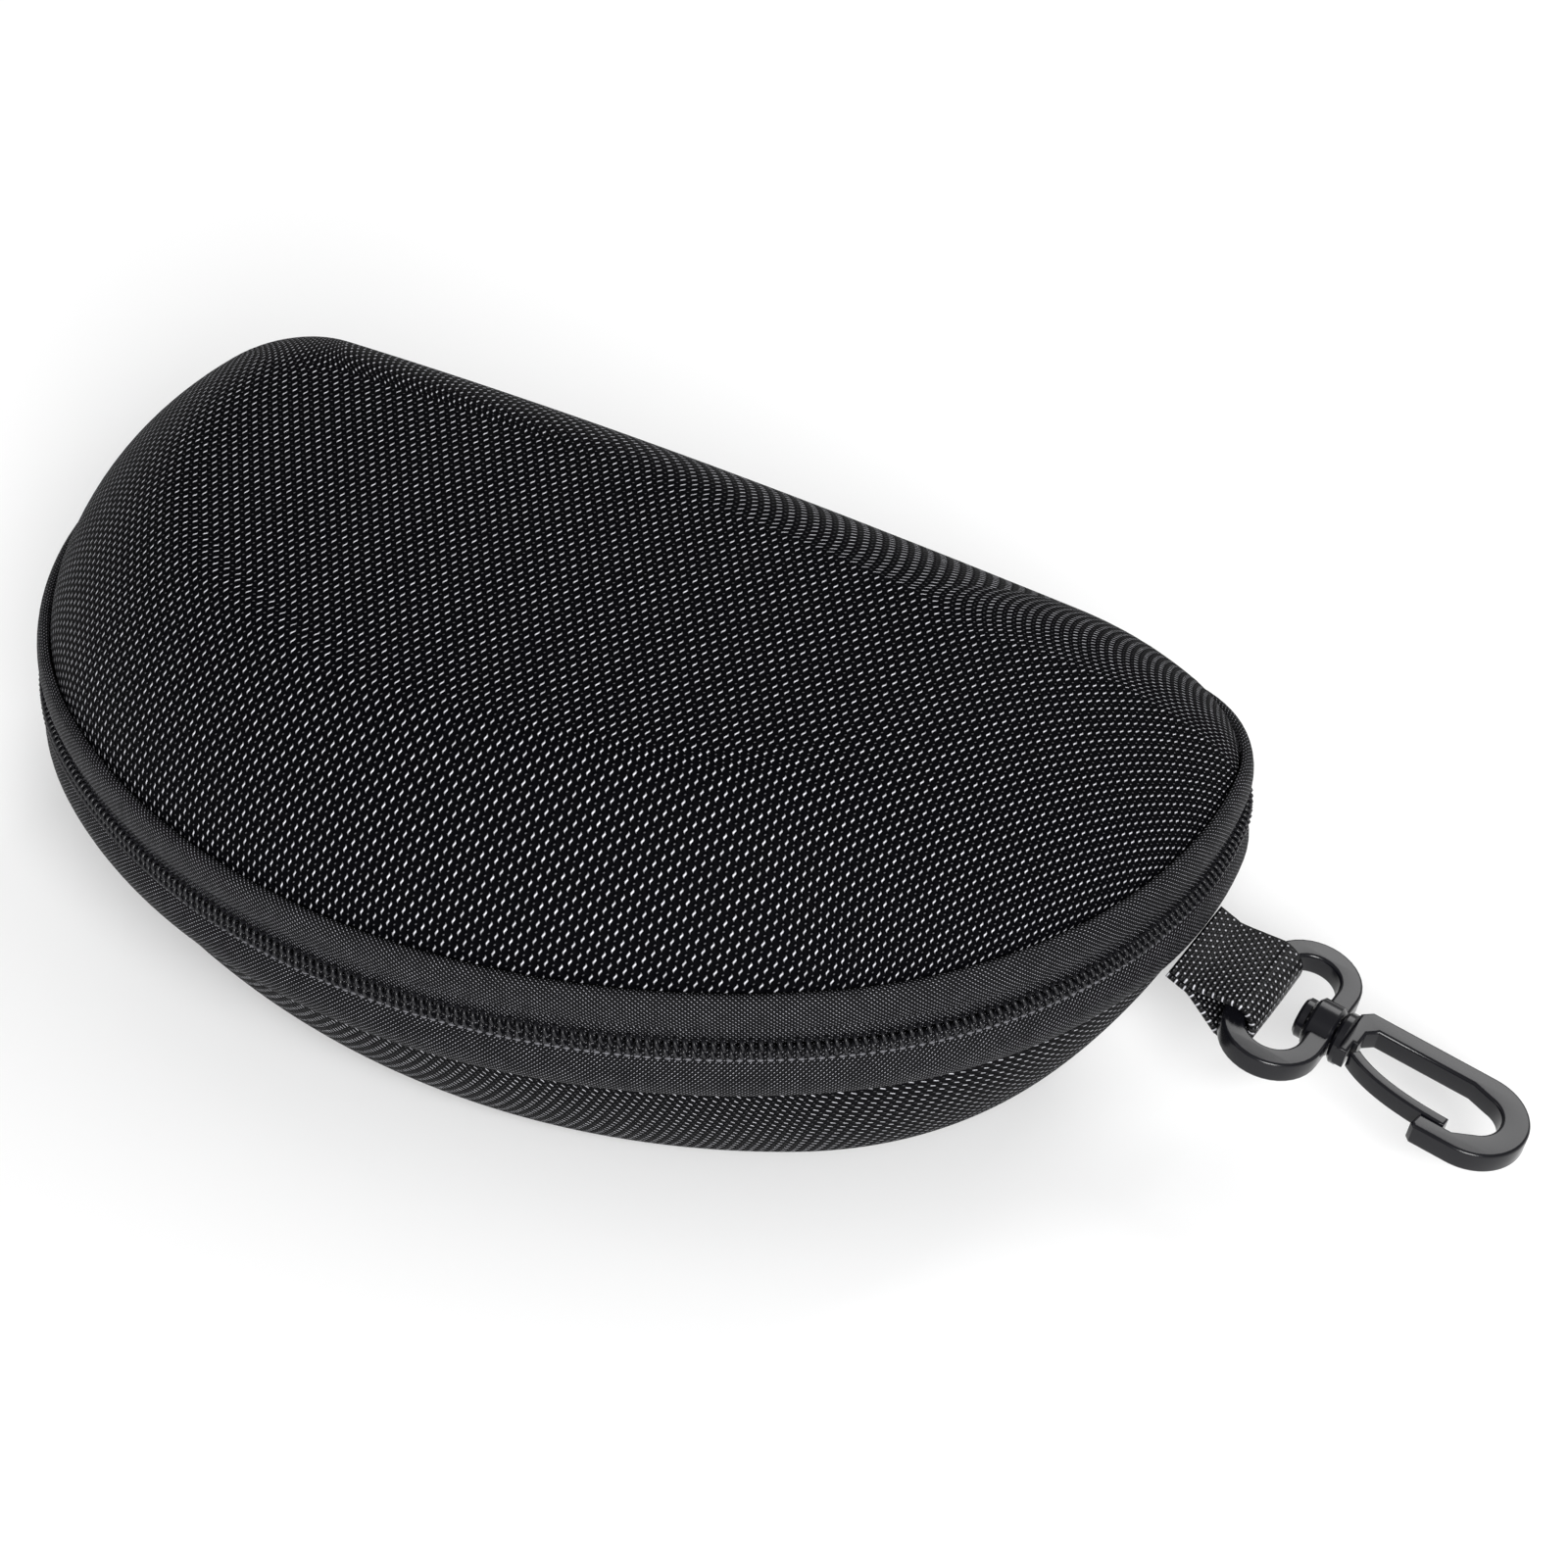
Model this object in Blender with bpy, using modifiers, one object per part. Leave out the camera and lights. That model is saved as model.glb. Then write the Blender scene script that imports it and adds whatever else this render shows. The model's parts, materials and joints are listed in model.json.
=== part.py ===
"""Zipped hard-shell eyeglasses case with a webbing loop and a plastic swivel snap hook.

Metres, +Z up. The origin is the centre of the flat patch that the lower shell rests on.
X runs along the back hinge, the snap hook hangs at the +X end, and the zipped front faces -Y.
"""

from math import asin, atan2, cos, pi, radians, sin, sqrt, tan

import bmesh
import bpy
from mathutils import Matrix, Vector

MM = 0.001

# --- Driving sizes -----------------------------------------------------------------------

# The rim, seen from above, is a rounded D. Depths are measured from its widest line.
RIM_WIDTH = 160.0 * MM
RIM_FRONT = 67.5 * MM
RIM_BACK = 27.0 * MM
RIM_FRONT_SHARPNESS = 6.0 * MM  # how much the side arcs' radius falls short of the front depth
RIM_CORNER_RADIUS = 18.0 * MM

# Each shell rises from the rim to a smaller D, its crown edge, and is closed by a low crown.
UPPER_HEIGHT = 29.5 * MM  # at the crown's front edge
UPPER_BACK_RISE = 4.6 * MM  # how much higher the crown's back edge is
UPPER_BULGE = 1.2 * MM
UPPER_ARCH = 2.0 * MM  # rise of the crown's middle over its ends
UPPER_LEAN = 3.0 * MM  # how much the lid's left end stands over its middle
LOWER_DEPTH = 33.5 * MM
UPPER_END_SLOPE, UPPER_FRONT_SLOPE, UPPER_BACK_SLOPE = 29.8 * MM, 17.1 * MM, 30.3 * MM
LOWER_END_SLOPE, LOWER_FRONT_SLOPE, LOWER_BACK_SLOPE = 17.2 * MM, 20.8 * MM, 30.7 * MM
CROWN_CORNER_RADIUS = 7.0 * MM
UPPER_CROWN_SHIFT = 17.7 * MM  # of the crown's widest line, forward of the rim's
LOWER_CROWN_SHIFT = 0.0 * MM
# Exponents of the walls' superellipses: 1 is straight, 2 is circular
UPPER_ROUNDNESS, LOWER_ROUNDNESS = 1.43, 1.2

# Plies of the wall, from outside to inside
COVER_THICKNESS = 0.8 * MM
CORE_THICKNESS = 4.0 * MM
LINING_THICKNESS = 0.8 * MM
PLY_GAP = 0.3 * MM

# Zip and rim
RIM_EDGE_HEIGHT = 4.6 * MM  # from the zip's centre line to the cut edge of each shell
BAND_HEIGHT = 7.0 * MM  # where the wall leaves the zip band
BAND_INSET = 1.2 * MM
TAPE_START, TAPE_END = 2.2 * MM, 7.4 * MM
TAPE_THICKNESS = 0.6 * MM
TAPE_BULGE = 0.9 * MM
TAPE_SEAT = 0.2 * MM
COIL_HEIGHT = 1.7 * MM  # of one half of the chain
COIL_DEPTH = 1.5 * MM
CHAIN_GAP = 0.4 * MM
BINDING_THICKNESS = 0.4 * MM
ZIP_TO_HINGE = 3.0 * MM  # between the tapes' ends and the fabric hinge
COIL_END_ANGLE = 58.0  # where the coils stop on each back corner, degrees from the side

# Fabric hinge
HINGE_TO_CORNER = 7.0 * MM  # from the hinge's end to where the back corner starts to turn
HINGE_HALF_HEIGHT = 8.5 * MM
HINGE_THICKNESS = 0.7 * MM
HINGE_LINING_LAP = 2.2 * MM  # from the fold of the lower lining to the inner strip's edge

# Slider
SLIDER_ANGLE = 73.0  # on the right back corner, degrees from the side
SLIDER_LENGTH = 10.0 * MM
SLIDER_HALF_HEIGHT = 3.2 * MM
SLIDER_PLATE = 0.9 * MM
SLIDER_CLEARANCE = 0.4 * MM
BRIDGE_HALF_LENGTH = 2.4 * MM
BRIDGE_WIRE = 0.5 * MM  # radius
TAB_LENGTH = 17.0 * MM
TAB_WIDTH = 4.2 * MM
TAB_THICKNESS = 0.9 * MM
TAB_LIFT = 0.2 * MM  # of the tab's eye over the slider's face, besides its running gap
TAB_REST_TURN = 10.0  # inward from the slider's own direction, degrees

# Webbing loop
WEBBING_WIDTH = 14.0 * MM
WEBBING_THICKNESS = 1.1 * MM
WEBBING_OFFSET = -1.0 * MM  # from the widest line
LOOP_BAR_OUT, LOOP_BAR_DROP = 7.8 * MM, 13.2 * MM  # ring bar from the rim's end and plane
LOOP_ROOT_DROP = 8.9 * MM

# Swivel ring and snap hook, in the plane of the hook
HOOK_DROOP = 12.0  # degrees
HOOK_THICKNESS = 3.0 * MM
RING_WIDTH, RING_LENGTH = 13.0 * MM, 23.8 * MM
RING_BAR = 2.9 * MM
BOSS_RADIUS, BOSS_LENGTH = 3.4 * MM, 3.6 * MM
STEM_RADIUS, STEM_HEAD_RADIUS, STEM_HEAD_LENGTH = 1.4 * MM, 2.6 * MM, 1.2 * MM
FLANGE_LENGTH = 1.2 * MM
HOOK_LENGTH = 26.4 * MM  # from the boss to the round end
HOOK_BAR = 2.7 * MM
HOOK_OUTER, HOOK_INNER = 5.1 * MM, -9.0 * MM  # edges of the hook across the swivel axis
HOOK_END_BAND = 3.6 * MM
NOSE_START = 13.7 * MM
NOSE_BAND = 2.4 * MM
GATE_WIDTH = 1.5 * MM
GATE_TIP = 17.2 * MM
RUN_GAP = 0.3 * MM  # between pieces that turn or meet

# --- Derived places ----------------------------------------------------------------------

HALF_WIDTH = RIM_WIDTH / 2
SIDE_RADIUS = min(RIM_FRONT - RIM_FRONT_SHARPNESS, HALF_WIDTH - RIM_CORNER_RADIUS)
RIM = (HALF_WIDTH, RIM_FRONT, RIM_BACK, SIDE_RADIUS, RIM_CORNER_RADIUS, 0.0)
WIDEST_Y = (RIM_FRONT - LOWER_FRONT_SLOPE + LOWER_BACK_SLOPE - RIM_BACK) / 2
RIM_Z = LOWER_DEPTH
CORE_DEPTH = COVER_THICKNESS + PLY_GAP
LINING_DEPTH = CORE_DEPTH + CORE_THICKNESS + PLY_GAP
WALL_DEPTH = LINING_DEPTH + LINING_THICKNESS
HINGE_Y = WIDEST_Y + RIM_BACK + 0.6 * MM
# The lining folds nearer the rim than the cover does, by this much for the back wall's lean
LOWER_BACK_LEAN = atan2(LOWER_BACK_SLOPE, LOWER_DEPTH - BAND_HEIGHT)
LINING_FOLD_HEIGHT = BAND_HEIGHT - WALL_DEPTH * tan(LOWER_BACK_LEAN / 2)
INNER_HINGE_HALF_HEIGHT = LINING_FOLD_HEIGHT + HINGE_LINING_LAP
HOOK_PLANE = Matrix.Rotation(radians(HOOK_DROOP), 4, "Y")

BACK_STEPS, CORNER_STEPS, SIDE_STEPS, FRONT_STEPS = 2, 4, 7, 6
WALL_STEPS = 5
UPPER, LOWER = 1, -1


def scene_start():
    """Remove what the scene holds and return the collection that takes the parts."""
    for item in list(bpy.data.objects):
        bpy.data.objects.remove(item, do_unlink=True)
    parts = bpy.data.collections.new("eyeglasses_case")
    bpy.context.scene.collection.children.link(parts)
    return parts


PARTS = scene_start()


def material(name, colour, roughness, metallic=0.0):
    made = bpy.data.materials.new(name)
    made.use_nodes = True
    shader = made.node_tree.nodes["Principled BSDF"]
    shader.inputs["Base Color"].default_value = (*colour, 1.0)
    shader.inputs["Roughness"].default_value = roughness
    shader.inputs["Metallic"].default_value = metallic
    return made


BALLISTIC = material("ballistic_polyester", (0.020, 0.020, 0.024), 0.75)
EVA = material("moulded_eva_foam", (0.030, 0.030, 0.032), 0.9)
KNIT = material("knitted_lining", (0.025, 0.025, 0.027), 0.95)
TAPE = material("zip_tape", (0.016, 0.016, 0.018), 0.8)
COIL = material("nylon_coil", (0.015, 0.015, 0.017), 0.45)
BINDING = material("binding_tape", (0.018, 0.018, 0.020), 0.85)
NICKEL = material("nickel_plated_zinc", (0.60, 0.60, 0.61), 0.25, 1.0)
WEBBING = material("polypropylene_webbing", (0.012, 0.012, 0.013), 0.7)
ACETAL = material("moulded_acetal", (0.018, 0.018, 0.021), 0.35)


# --- The rounded D -----------------------------------------------------------------------


def inset_sizes(sizes, inset):
    """The sizes of a D that runs a constant distance inside the given one."""
    return (*(size - inset for size in sizes[:5]), sizes[5])


def arc(centre, radius, start, end, steps):
    """Points of an arc, its first one left out, because the stretch before it ends there."""
    angles = [start + (end - start) * k / steps for k in range(1, steps + 1)]
    return [(centre[0] + radius * cos(a), centre[1] + radius * sin(a)) for a in angles]


def corner_centre(sizes):
    """Centre of the right back corner's arc, and the angle at which it meets the side arc."""
    half, _, back, side, corner = sizes[:5]
    rise = back - corner
    reach = sqrt(max((side - corner) ** 2 - rise**2, 0.0))
    return (half - side + reach, rise), atan2(rise, reach)


def half_outline(sizes, back_start=None, corner_start=None):
    """The D's right half, from the back round to the middle of the front.

    Its sizes are half width, depth in front of and behind the widest line, side radius, corner
    radius and how far forward the widest line is moved. It starts on the back line at
    x = back_start, or on the corner at angle corner_start.
    """
    half, front, back, side, corner, shift = sizes
    centre, meet = corner_centre(sizes)
    middle = half - side
    front_radius = (middle**2 + front**2 - side**2) / (2 * (front - side))
    front_y = front_radius - front
    turn = atan2(-front_y, middle)
    if corner_start is None:
        points = [(back_start + (centre[0] - back_start) * k / BACK_STEPS, back)
                  for k in range(BACK_STEPS + 1)]
        corner_start = pi / 2
    else:
        points = [(centre[0] + corner * cos(corner_start), centre[1] + corner * sin(corner_start))]
    points += arc(centre, corner, corner_start, meet, CORNER_STEPS)
    points += arc((middle, 0.0), side, meet, turn, SIDE_STEPS)
    points += arc((0.0, front_y), front_radius, turn, -pi / 2, FRONT_STEPS)
    return [(x, y - shift) for x, y in points]


def mirrored(points):
    """A right half and its mirror image, as one run of points."""
    return points + [(-x, y) for x, y in reversed(points[:-1])]


def ring(sizes):
    """The closed D, clockwise from the middle of the back."""
    return mirrored(half_outline(sizes, back_start=0.0))[:-1]


HINGE_HALF_WIDTH = corner_centre(RIM)[0][0] - HINGE_TO_CORNER
ZIP_END = HINGE_HALF_WIDTH + ZIP_TO_HINGE


# --- Shells ------------------------------------------------------------------------------


def crown_sizes(side):
    """The D at the edge of a shell's crown."""
    ends = UPPER_END_SLOPE if side == UPPER else LOWER_END_SLOPE
    front = UPPER_FRONT_SLOPE if side == UPPER else LOWER_FRONT_SLOPE
    back = UPPER_BACK_SLOPE if side == UPPER else LOWER_BACK_SLOPE
    shift = UPPER_CROWN_SHIFT if side == UPPER else LOWER_CROWN_SHIFT
    half, depth = HALF_WIDTH - ends, RIM_FRONT - front - shift
    side_radius = min(depth - RIM_FRONT_SHARPNESS, half - CROWN_CORNER_RADIUS)
    return (half, depth, RIM_BACK - back + shift, side_radius, CROWN_CORNER_RADIUS, shift)


def crown_height(side, x, y):
    """Height of a shell's crown over the rim plane, at x and at y from the widest line."""
    if side == LOWER:
        return LOWER_DEPTH
    half, front, back, _, _, shift = crown_sizes(UPPER)
    arch = UPPER_ARCH * (1 - (x / half) ** 2) - UPPER_LEAN * x / half
    return UPPER_HEIGHT + arch + UPPER_BACK_RISE * (y + shift + front) / (front + back)


def shell_rings(side):
    """Rings of (x, y, height) from the cut edge to the middle of the crown."""
    band, crown = inset_sizes(RIM, BAND_INSET), crown_sizes(side)
    roundness = UPPER_ROUNDNESS if side == UPPER else LOWER_ROUNDNESS
    rings = [[(x, y, RIM_EDGE_HEIGHT) for x, y in ring(inset_sizes(RIM, BAND_INSET + 0.2 * MM))]]
    for k in range(WALL_STEPS + 1):
        turn = pi / 2 * k / WALL_STEPS
        share = 1 - cos(turn) ** (2 / roundness) if k < WALL_STEPS else 1.0
        rise = sin(turn) ** (2 / roundness)
        sizes = tuple(a + (b - a) * share for a, b in zip(band, crown))
        rings.append([(x, y, BAND_HEIGHT + (crown_height(side, x, y) - BAND_HEIGHT) * rise)
                      for x, y in ring(sizes)])
    middle = (crown[2] - crown[1]) / 2 - crown[5]
    bulge = UPPER_BULGE if side == UPPER else 0.0
    for share in (0.5, 0.0):
        rings.append([(x * share, middle + (y - middle) * share,
                       crown_height(side, x * share, middle + (y - middle) * share)
                       + bulge * (1 - share**2)) for x, y in ring(crown)])
    return rings


def shell_mesh(side, depth):
    """An open shell surface, moved inward from the outer one by depth."""
    mesh = bmesh.new()
    rings = []
    for points in shell_rings(side):
        rings.append([mesh.verts.new((x, WIDEST_Y + y, RIM_Z + side * height))
                      for x, y, height in points])
    for low, high in zip(rings, rings[1:]):
        for k in range(len(low)):
            n = (k + 1) % len(low)
            corners = (low[k], high[k], high[n], low[n])
            mesh.faces.new(corners if side == UPPER else corners[::-1])
    bmesh.ops.remove_doubles(mesh, verts=mesh.verts, dist=0.01 * MM)
    mesh.normal_update()
    edge = {v for v in mesh.verts if v.is_boundary}
    moved = {v: v.co - v.normal * depth * v.calc_shell_factor() for v in mesh.verts}
    for vert, place in moved.items():
        vert.co = place
        if vert in edge:
            vert.co.z = RIM_Z + side * RIM_EDGE_HEIGHT
    return mesh


def add_object(name, mesh, finish):
    data = bpy.data.meshes.new(name)
    mesh.to_mesh(data)
    mesh.free()
    data.materials.append(finish)
    made = bpy.data.objects.new(name, data)
    PARTS.objects.link(made)
    return made


def shade_round(made, angle=35.0):
    made.data.shade_smooth()
    made.data.set_sharp_from_angle(angle=radians(angle))


def ply(name, side, depth, thickness, finish):
    """One ply of a shell: an open surface given its thickness inward."""
    made = add_object(name, shell_mesh(side, depth), finish)
    wall = made.modifiers.new("thickness", "SOLIDIFY")
    wall.thickness = thickness
    wall.offset = -1.0
    wall.use_even_offset = True
    shade_round(made)
    return made


def shell_plies(side, prefix):
    return [
        ply(prefix + "_cover", side, 0.0, COVER_THICKNESS, BALLISTIC),
        ply(prefix + "_core", side, CORE_DEPTH, CORE_THICKNESS, EVA),
        ply(prefix + "_lining", side, LINING_DEPTH, LINING_THICKNESS, KNIT),
    ]


# --- Strips that follow the rim ----------------------------------------------------------


def strip(name, section, side, finish, closed=False, back_start=None, corner_start=None):
    """A strip of constant section, given as (inset, height) points, led along the rim."""
    mesh = bmesh.new()
    columns = []
    for inset, height in section:
        sizes = inset_sizes(RIM, inset)
        path = ring(sizes) if closed else mirrored(half_outline(sizes, back_start, corner_start))
        columns.append([mesh.verts.new((x, WIDEST_Y + y, RIM_Z + side * height)) for x, y in path])
    count = len(columns[0])
    for a, b in zip(columns, columns[1:] + columns[:1]):
        for k in range(count if closed else count - 1):
            n = (k + 1) % count
            mesh.faces.new((a[k], a[n], b[n], b[k]))
    if not closed:
        mesh.faces.new([column[0] for column in columns])
        mesh.faces.new([column[-1] for column in reversed(columns)])
    bmesh.ops.recalc_face_normals(mesh, faces=mesh.faces)
    made = add_object(name, mesh, finish)
    shade_round(made)
    return made


def tape_section():
    """The tape's bowed section: out along its face and back along its reverse."""
    steps = 4
    face = []
    for k in range(steps + 1):
        height = TAPE_START + (TAPE_END - TAPE_START) * k / steps
        face.append((TAPE_SEAT - TAPE_BULGE * sin(pi * k / steps), height))
    return face + [(inset + TAPE_THICKNESS, height) for inset, height in reversed(face)]


def coil_section():
    low = CHAIN_GAP / 2
    middle = low + COIL_HEIGHT / 2 * 0.92
    return [(0.1 * MM + COIL_DEPTH / 2 * cos(a), middle + COIL_HEIGHT / 2 * 0.92 * sin(a))
            for a in (pi / 4 * k for k in range(8))]


def binding_section():
    top = RIM_EDGE_HEIGHT - PLY_GAP
    outer, inner = BAND_INSET + 0.2 * MM, BAND_INSET + 0.2 * MM + WALL_DEPTH + PLY_GAP
    return [(outer, top), (inner, top), (inner, top - BINDING_THICKNESS),
            (outer, top - BINDING_THICKNESS)]


def rim_strips(side, prefix):
    return [
        strip(prefix + "_binding", binding_section(), side, BINDING, closed=True),
        strip(prefix + "_zip_tape", tape_section(), side, TAPE, back_start=ZIP_END),
        strip(prefix + "_zip_coil", coil_section(), side, COIL,
              corner_start=radians(COIL_END_ANGLE)),
    ]


def box(name, low, high, finish, bevel=0.0):
    """A box between two corners, with rounded edges where bevel is given."""
    mesh = bmesh.new()
    bmesh.ops.create_cube(mesh, size=1.0)
    low, high = Vector(low), Vector(high)
    for vert in mesh.verts:
        vert.co = Vector(vert.co[i] * (high - low)[i] + (high + low)[i] / 2 for i in range(3))
    made = add_object(name, mesh, finish)
    if bevel:
        edges = made.modifiers.new("rounded_edges", "BEVEL")
        edges.width = bevel
        edges.segments = 2
    return made


def hinge_strips():
    """The fabric hinge outside, and the lining strip that covers it inside."""
    outer_y = WIDEST_Y + RIM_BACK - TAPE_SEAT
    outer = box("hinge_strip", (-HINGE_HALF_WIDTH, outer_y - HINGE_THICKNESS,
                                RIM_Z - HINGE_HALF_HEIGHT),
                (HINGE_HALF_WIDTH, outer_y, RIM_Z + HINGE_HALF_HEIGHT), BALLISTIC)
    inner_y = WIDEST_Y + RIM_BACK - binding_section()[1][0] - PLY_GAP
    half = HINGE_HALF_WIDTH - 4 * MM
    inner = box("hinge_lining", (-half, inner_y - HINGE_THICKNESS,
                                 RIM_Z - INNER_HINGE_HALF_HEIGHT),
                (half, inner_y, RIM_Z + INNER_HINGE_HALF_HEIGHT), KNIT)
    return [outer, inner]


# --- Joints' axes ------------------------------------------------------------------------


def joint_axis(name, place, parent=None, turn=None):
    """An empty that marks a joint's axis; the pieces that turn hang on it."""
    made = bpy.data.objects.new(name, None)
    made.empty_display_size = 8 * MM
    made.hide_render = True
    PARTS.objects.link(made)
    made.matrix_world = Matrix.Translation(place) @ (turn or Matrix.Identity(4))
    bpy.context.view_layer.update()
    if parent:
        attach(made, parent)
    return made


def attach(child, parent):
    """Parent child to parent without moving it."""
    child.parent = parent
    child.matrix_parent_inverse = parent.matrix_world.inverted()
    bpy.context.view_layer.update()


# --- Slider ------------------------------------------------------------------------------


def corner_point(angle, inset, height=0.0):
    """A point on the right back corner: angle from the side, inset from the rim line."""
    centre, _ = corner_centre(RIM)
    radius = RIM_CORNER_RADIUS - inset
    return Vector((centre[0] + radius * cos(angle), WIDEST_Y + centre[1] + radius * sin(angle),
                   RIM_Z + height))


def curved_plate(mesh, inset_low, inset_high, half_height, start, end, steps=4):
    """A plate bent to the corner's arc, with its nose end narrower than its mouth."""
    columns = []
    for k in range(steps + 1):
        angle = start + (end - start) * k / steps
        narrowing = 1 - 0.35 * (k / steps) ** 3
        height = half_height * narrowing
        columns.append([mesh.verts.new(corner_point(angle, inset, z)) for inset, z in (
            (inset_low, -height), (inset_high, -height), (inset_high, height),
            (inset_low, height))])
    for a, b in zip(columns, columns[1:]):
        for i in range(4):
            j = (i + 1) % 4
            mesh.faces.new((a[i], a[j], b[j], b[i]))
    mesh.faces.new(columns[0])
    mesh.faces.new(columns[-1][::-1])


def united(base, others):
    """One closed body made of several meshes that overlap."""
    for other in others:
        cut = base.modifiers.new("join_" + other.name, "BOOLEAN")
        cut.operation = "UNION"
        cut.object = other
    bpy.context.view_layer.update()
    evaluated = base.evaluated_get(bpy.context.evaluated_depsgraph_get())
    joined = bpy.data.meshes.new_from_object(evaluated)
    base.modifiers.clear()
    base.data = joined
    for other in others:
        bpy.data.objects.remove(other, do_unlink=True)
    return base


def tube(name, points, radius, finish, sides=2):
    """A wire through the points, as a closed mesh."""
    curve = bpy.data.curves.new(name, "CURVE")
    curve.dimensions = "3D"
    curve.bevel_depth = radius
    curve.bevel_resolution = sides
    curve.use_fill_caps = True
    spline = curve.splines.new("POLY")
    spline.points.add(len(points) - 1)
    for spot, place in zip(spline.points, points):
        spot.co = (*place, 1.0)
    return meshed(name, curve, Matrix.Identity(4), finish)


def meshed(name, curve, place, finish):
    """A curve turned into a closed mesh at its place."""
    source = bpy.data.objects.new(name + "_curve", curve)
    PARTS.objects.link(source)
    bpy.context.view_layer.update()
    evaluated = source.evaluated_get(bpy.context.evaluated_depsgraph_get())
    data = bpy.data.meshes.new_from_object(evaluated)
    bpy.data.objects.remove(source, do_unlink=True)
    data.name = name
    mesh = bmesh.new()
    mesh.from_mesh(data)
    bmesh.ops.remove_doubles(mesh, verts=mesh.verts, dist=0.005 * MM)
    bmesh.ops.recalc_face_normals(mesh, faces=mesh.faces)
    mesh.to_mesh(data)
    mesh.free()
    data.materials.clear()
    data.materials.append(finish)
    made = bpy.data.objects.new(name, data)
    made.matrix_world = place
    PARTS.objects.link(made)
    return made


def slider_face_inset():
    """Inset of the outer plate's inner face, clear of the coil and the tape."""
    return TAPE_SEAT - TAPE_BULGE - SLIDER_CLEARANCE


def tab_inset():
    """Inset of the bar of the tab's eye, which turns between the slider's face and the bridge."""
    return slider_face_inset() - SLIDER_PLATE - RUN_GAP - TAB_LIFT - TAB_THICKNESS / 2


def bridge_inset():
    """Inset of the bridge's crown, clear of the eye's bar however it turns."""
    return tab_inset() - TAB_THICKNESS * sqrt(0.5) - RUN_GAP / 2 - BRIDGE_WIRE


def slider():
    """The slider's two plates, the post between them and the bridge for the tab."""
    centre = radians(SLIDER_ANGLE)
    half = SLIDER_LENGTH / 2 / RIM_CORNER_RADIUS
    outer_in = slider_face_inset()
    outer_out = outer_in - SLIDER_PLATE
    inner_out = 0.1 * MM + COIL_DEPTH / 2 + SLIDER_CLEARANCE
    plates = []
    for name, low, high in (("slider", outer_in, outer_out),
                            ("slider_inner", inner_out + SLIDER_PLATE, inner_out)):
        mesh = bmesh.new()
        curved_plate(mesh, low, high, SLIDER_HALF_HEIGHT, centre - half, centre + half)
        bmesh.ops.recalc_face_normals(mesh, faces=mesh.faces)
        plates.append(add_object(name, mesh, NICKEL))
    post = bmesh.new()
    curved_plate(post, inner_out + SLIDER_PLATE / 2, outer_in - SLIDER_PLATE / 2,
                 SLIDER_HALF_HEIGHT * 0.28, centre + half * 0.55, centre + half * 0.9, steps=2)
    bmesh.ops.recalc_face_normals(post, faces=post.faces)
    foot, crown = outer_out + SLIDER_PLATE / 2, bridge_inset()
    reach = BRIDGE_HALF_LENGTH / (RIM_CORNER_RADIUS - crown)
    shape = [(-reach, foot), (-reach, crown + 0.6 * MM), (-reach * 0.7, crown),
             (reach * 0.7, crown), (reach, crown + 0.6 * MM), (reach, foot)]
    bridge = tube("slider_bridge", [corner_point(centre + a, i) for a, i in shape],
                  BRIDGE_WIRE, NICKEL)
    body = united(plates[0], [plates[1], add_object("slider_post", post, NICKEL), bridge])
    shade_round(body)
    return body


def pull_tab():
    """A flat tab with an eye round the bridge and a grip hole at its far end."""
    bar = TAB_THICKNESS / 2
    eye_end = RUN_GAP + sqrt((BRIDGE_HALF_LENGTH + BRIDGE_WIRE) ** 2
                             + (tab_inset() - bridge_inset() + BRIDGE_WIRE) ** 2)
    end = TAB_LENGTH - bar
    outline = rounded_box(-bar, end, -TAB_WIDTH / 2, TAB_WIDTH / 2, TAB_WIDTH * 0.35)
    eye = rounded_box(bar, eye_end, -BRIDGE_WIRE - RUN_GAP, BRIDGE_WIRE + RUN_GAP, 0.3 * MM)
    grip = rounded_box(end - 6.0 * MM, end - 1.2 * MM, -TAB_WIDTH * 0.22, TAB_WIDTH * 0.22,
                       0.9 * MM)
    angle = radians(SLIDER_ANGLE)
    along = Matrix.Rotation(angle + pi / 2 + radians(TAB_REST_TURN), 4, "Z")
    place = (Matrix.Translation(corner_point(angle, tab_inset())) @ along
             @ Matrix.Rotation(pi / 2, 4, "X"))
    return flat_plate("pull_tab", [outline, eye, grip], TAB_THICKNESS, place, NICKEL, 0.15 * MM)


# --- Flat outlines -----------------------------------------------------------------------


def rounded_box(x_low, x_high, y_low, y_high, radius, steps=3):
    """A rectangle with round corners, counter-clockwise."""
    radius = min(radius, (x_high - x_low) / 2.001, (y_high - y_low) / 2.001)
    corners = ((x_high - radius, y_high - radius, 0), (x_low + radius, y_high - radius, 1),
               (x_low + radius, y_low + radius, 2), (x_high - radius, y_low + radius, 3))
    return [(x + radius * cos(pi / 2 * (quarter + k / steps)),
             y + radius * sin(pi / 2 * (quarter + k / steps)))
            for x, y, quarter in corners for k in range(steps + 1)]


def flat_plate(name, loops, thickness, place, finish, edge=0.0):
    """A plate with the outline of the first loop and holes along the others."""
    curve = bpy.data.curves.new(name, "CURVE")
    curve.dimensions = "2D"
    curve.fill_mode = "BOTH"
    curve.extrude = thickness / 2 - edge
    curve.bevel_depth = edge
    curve.bevel_resolution = 0
    curve.offset = -edge
    for loop in loops:
        spline = curve.splines.new("POLY")
        spline.points.add(len(loop) - 1)
        spline.use_cyclic_u = True
        for spot, (x, y) in zip(spline.points, loop):
            spot.co = (x, y, 0.0, 1.0)
    made = meshed(name, curve, place, finish)
    shade_round(made, 50.0)
    return made


# --- Webbing loop, swivel ring and snap hook ---------------------------------------------

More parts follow.
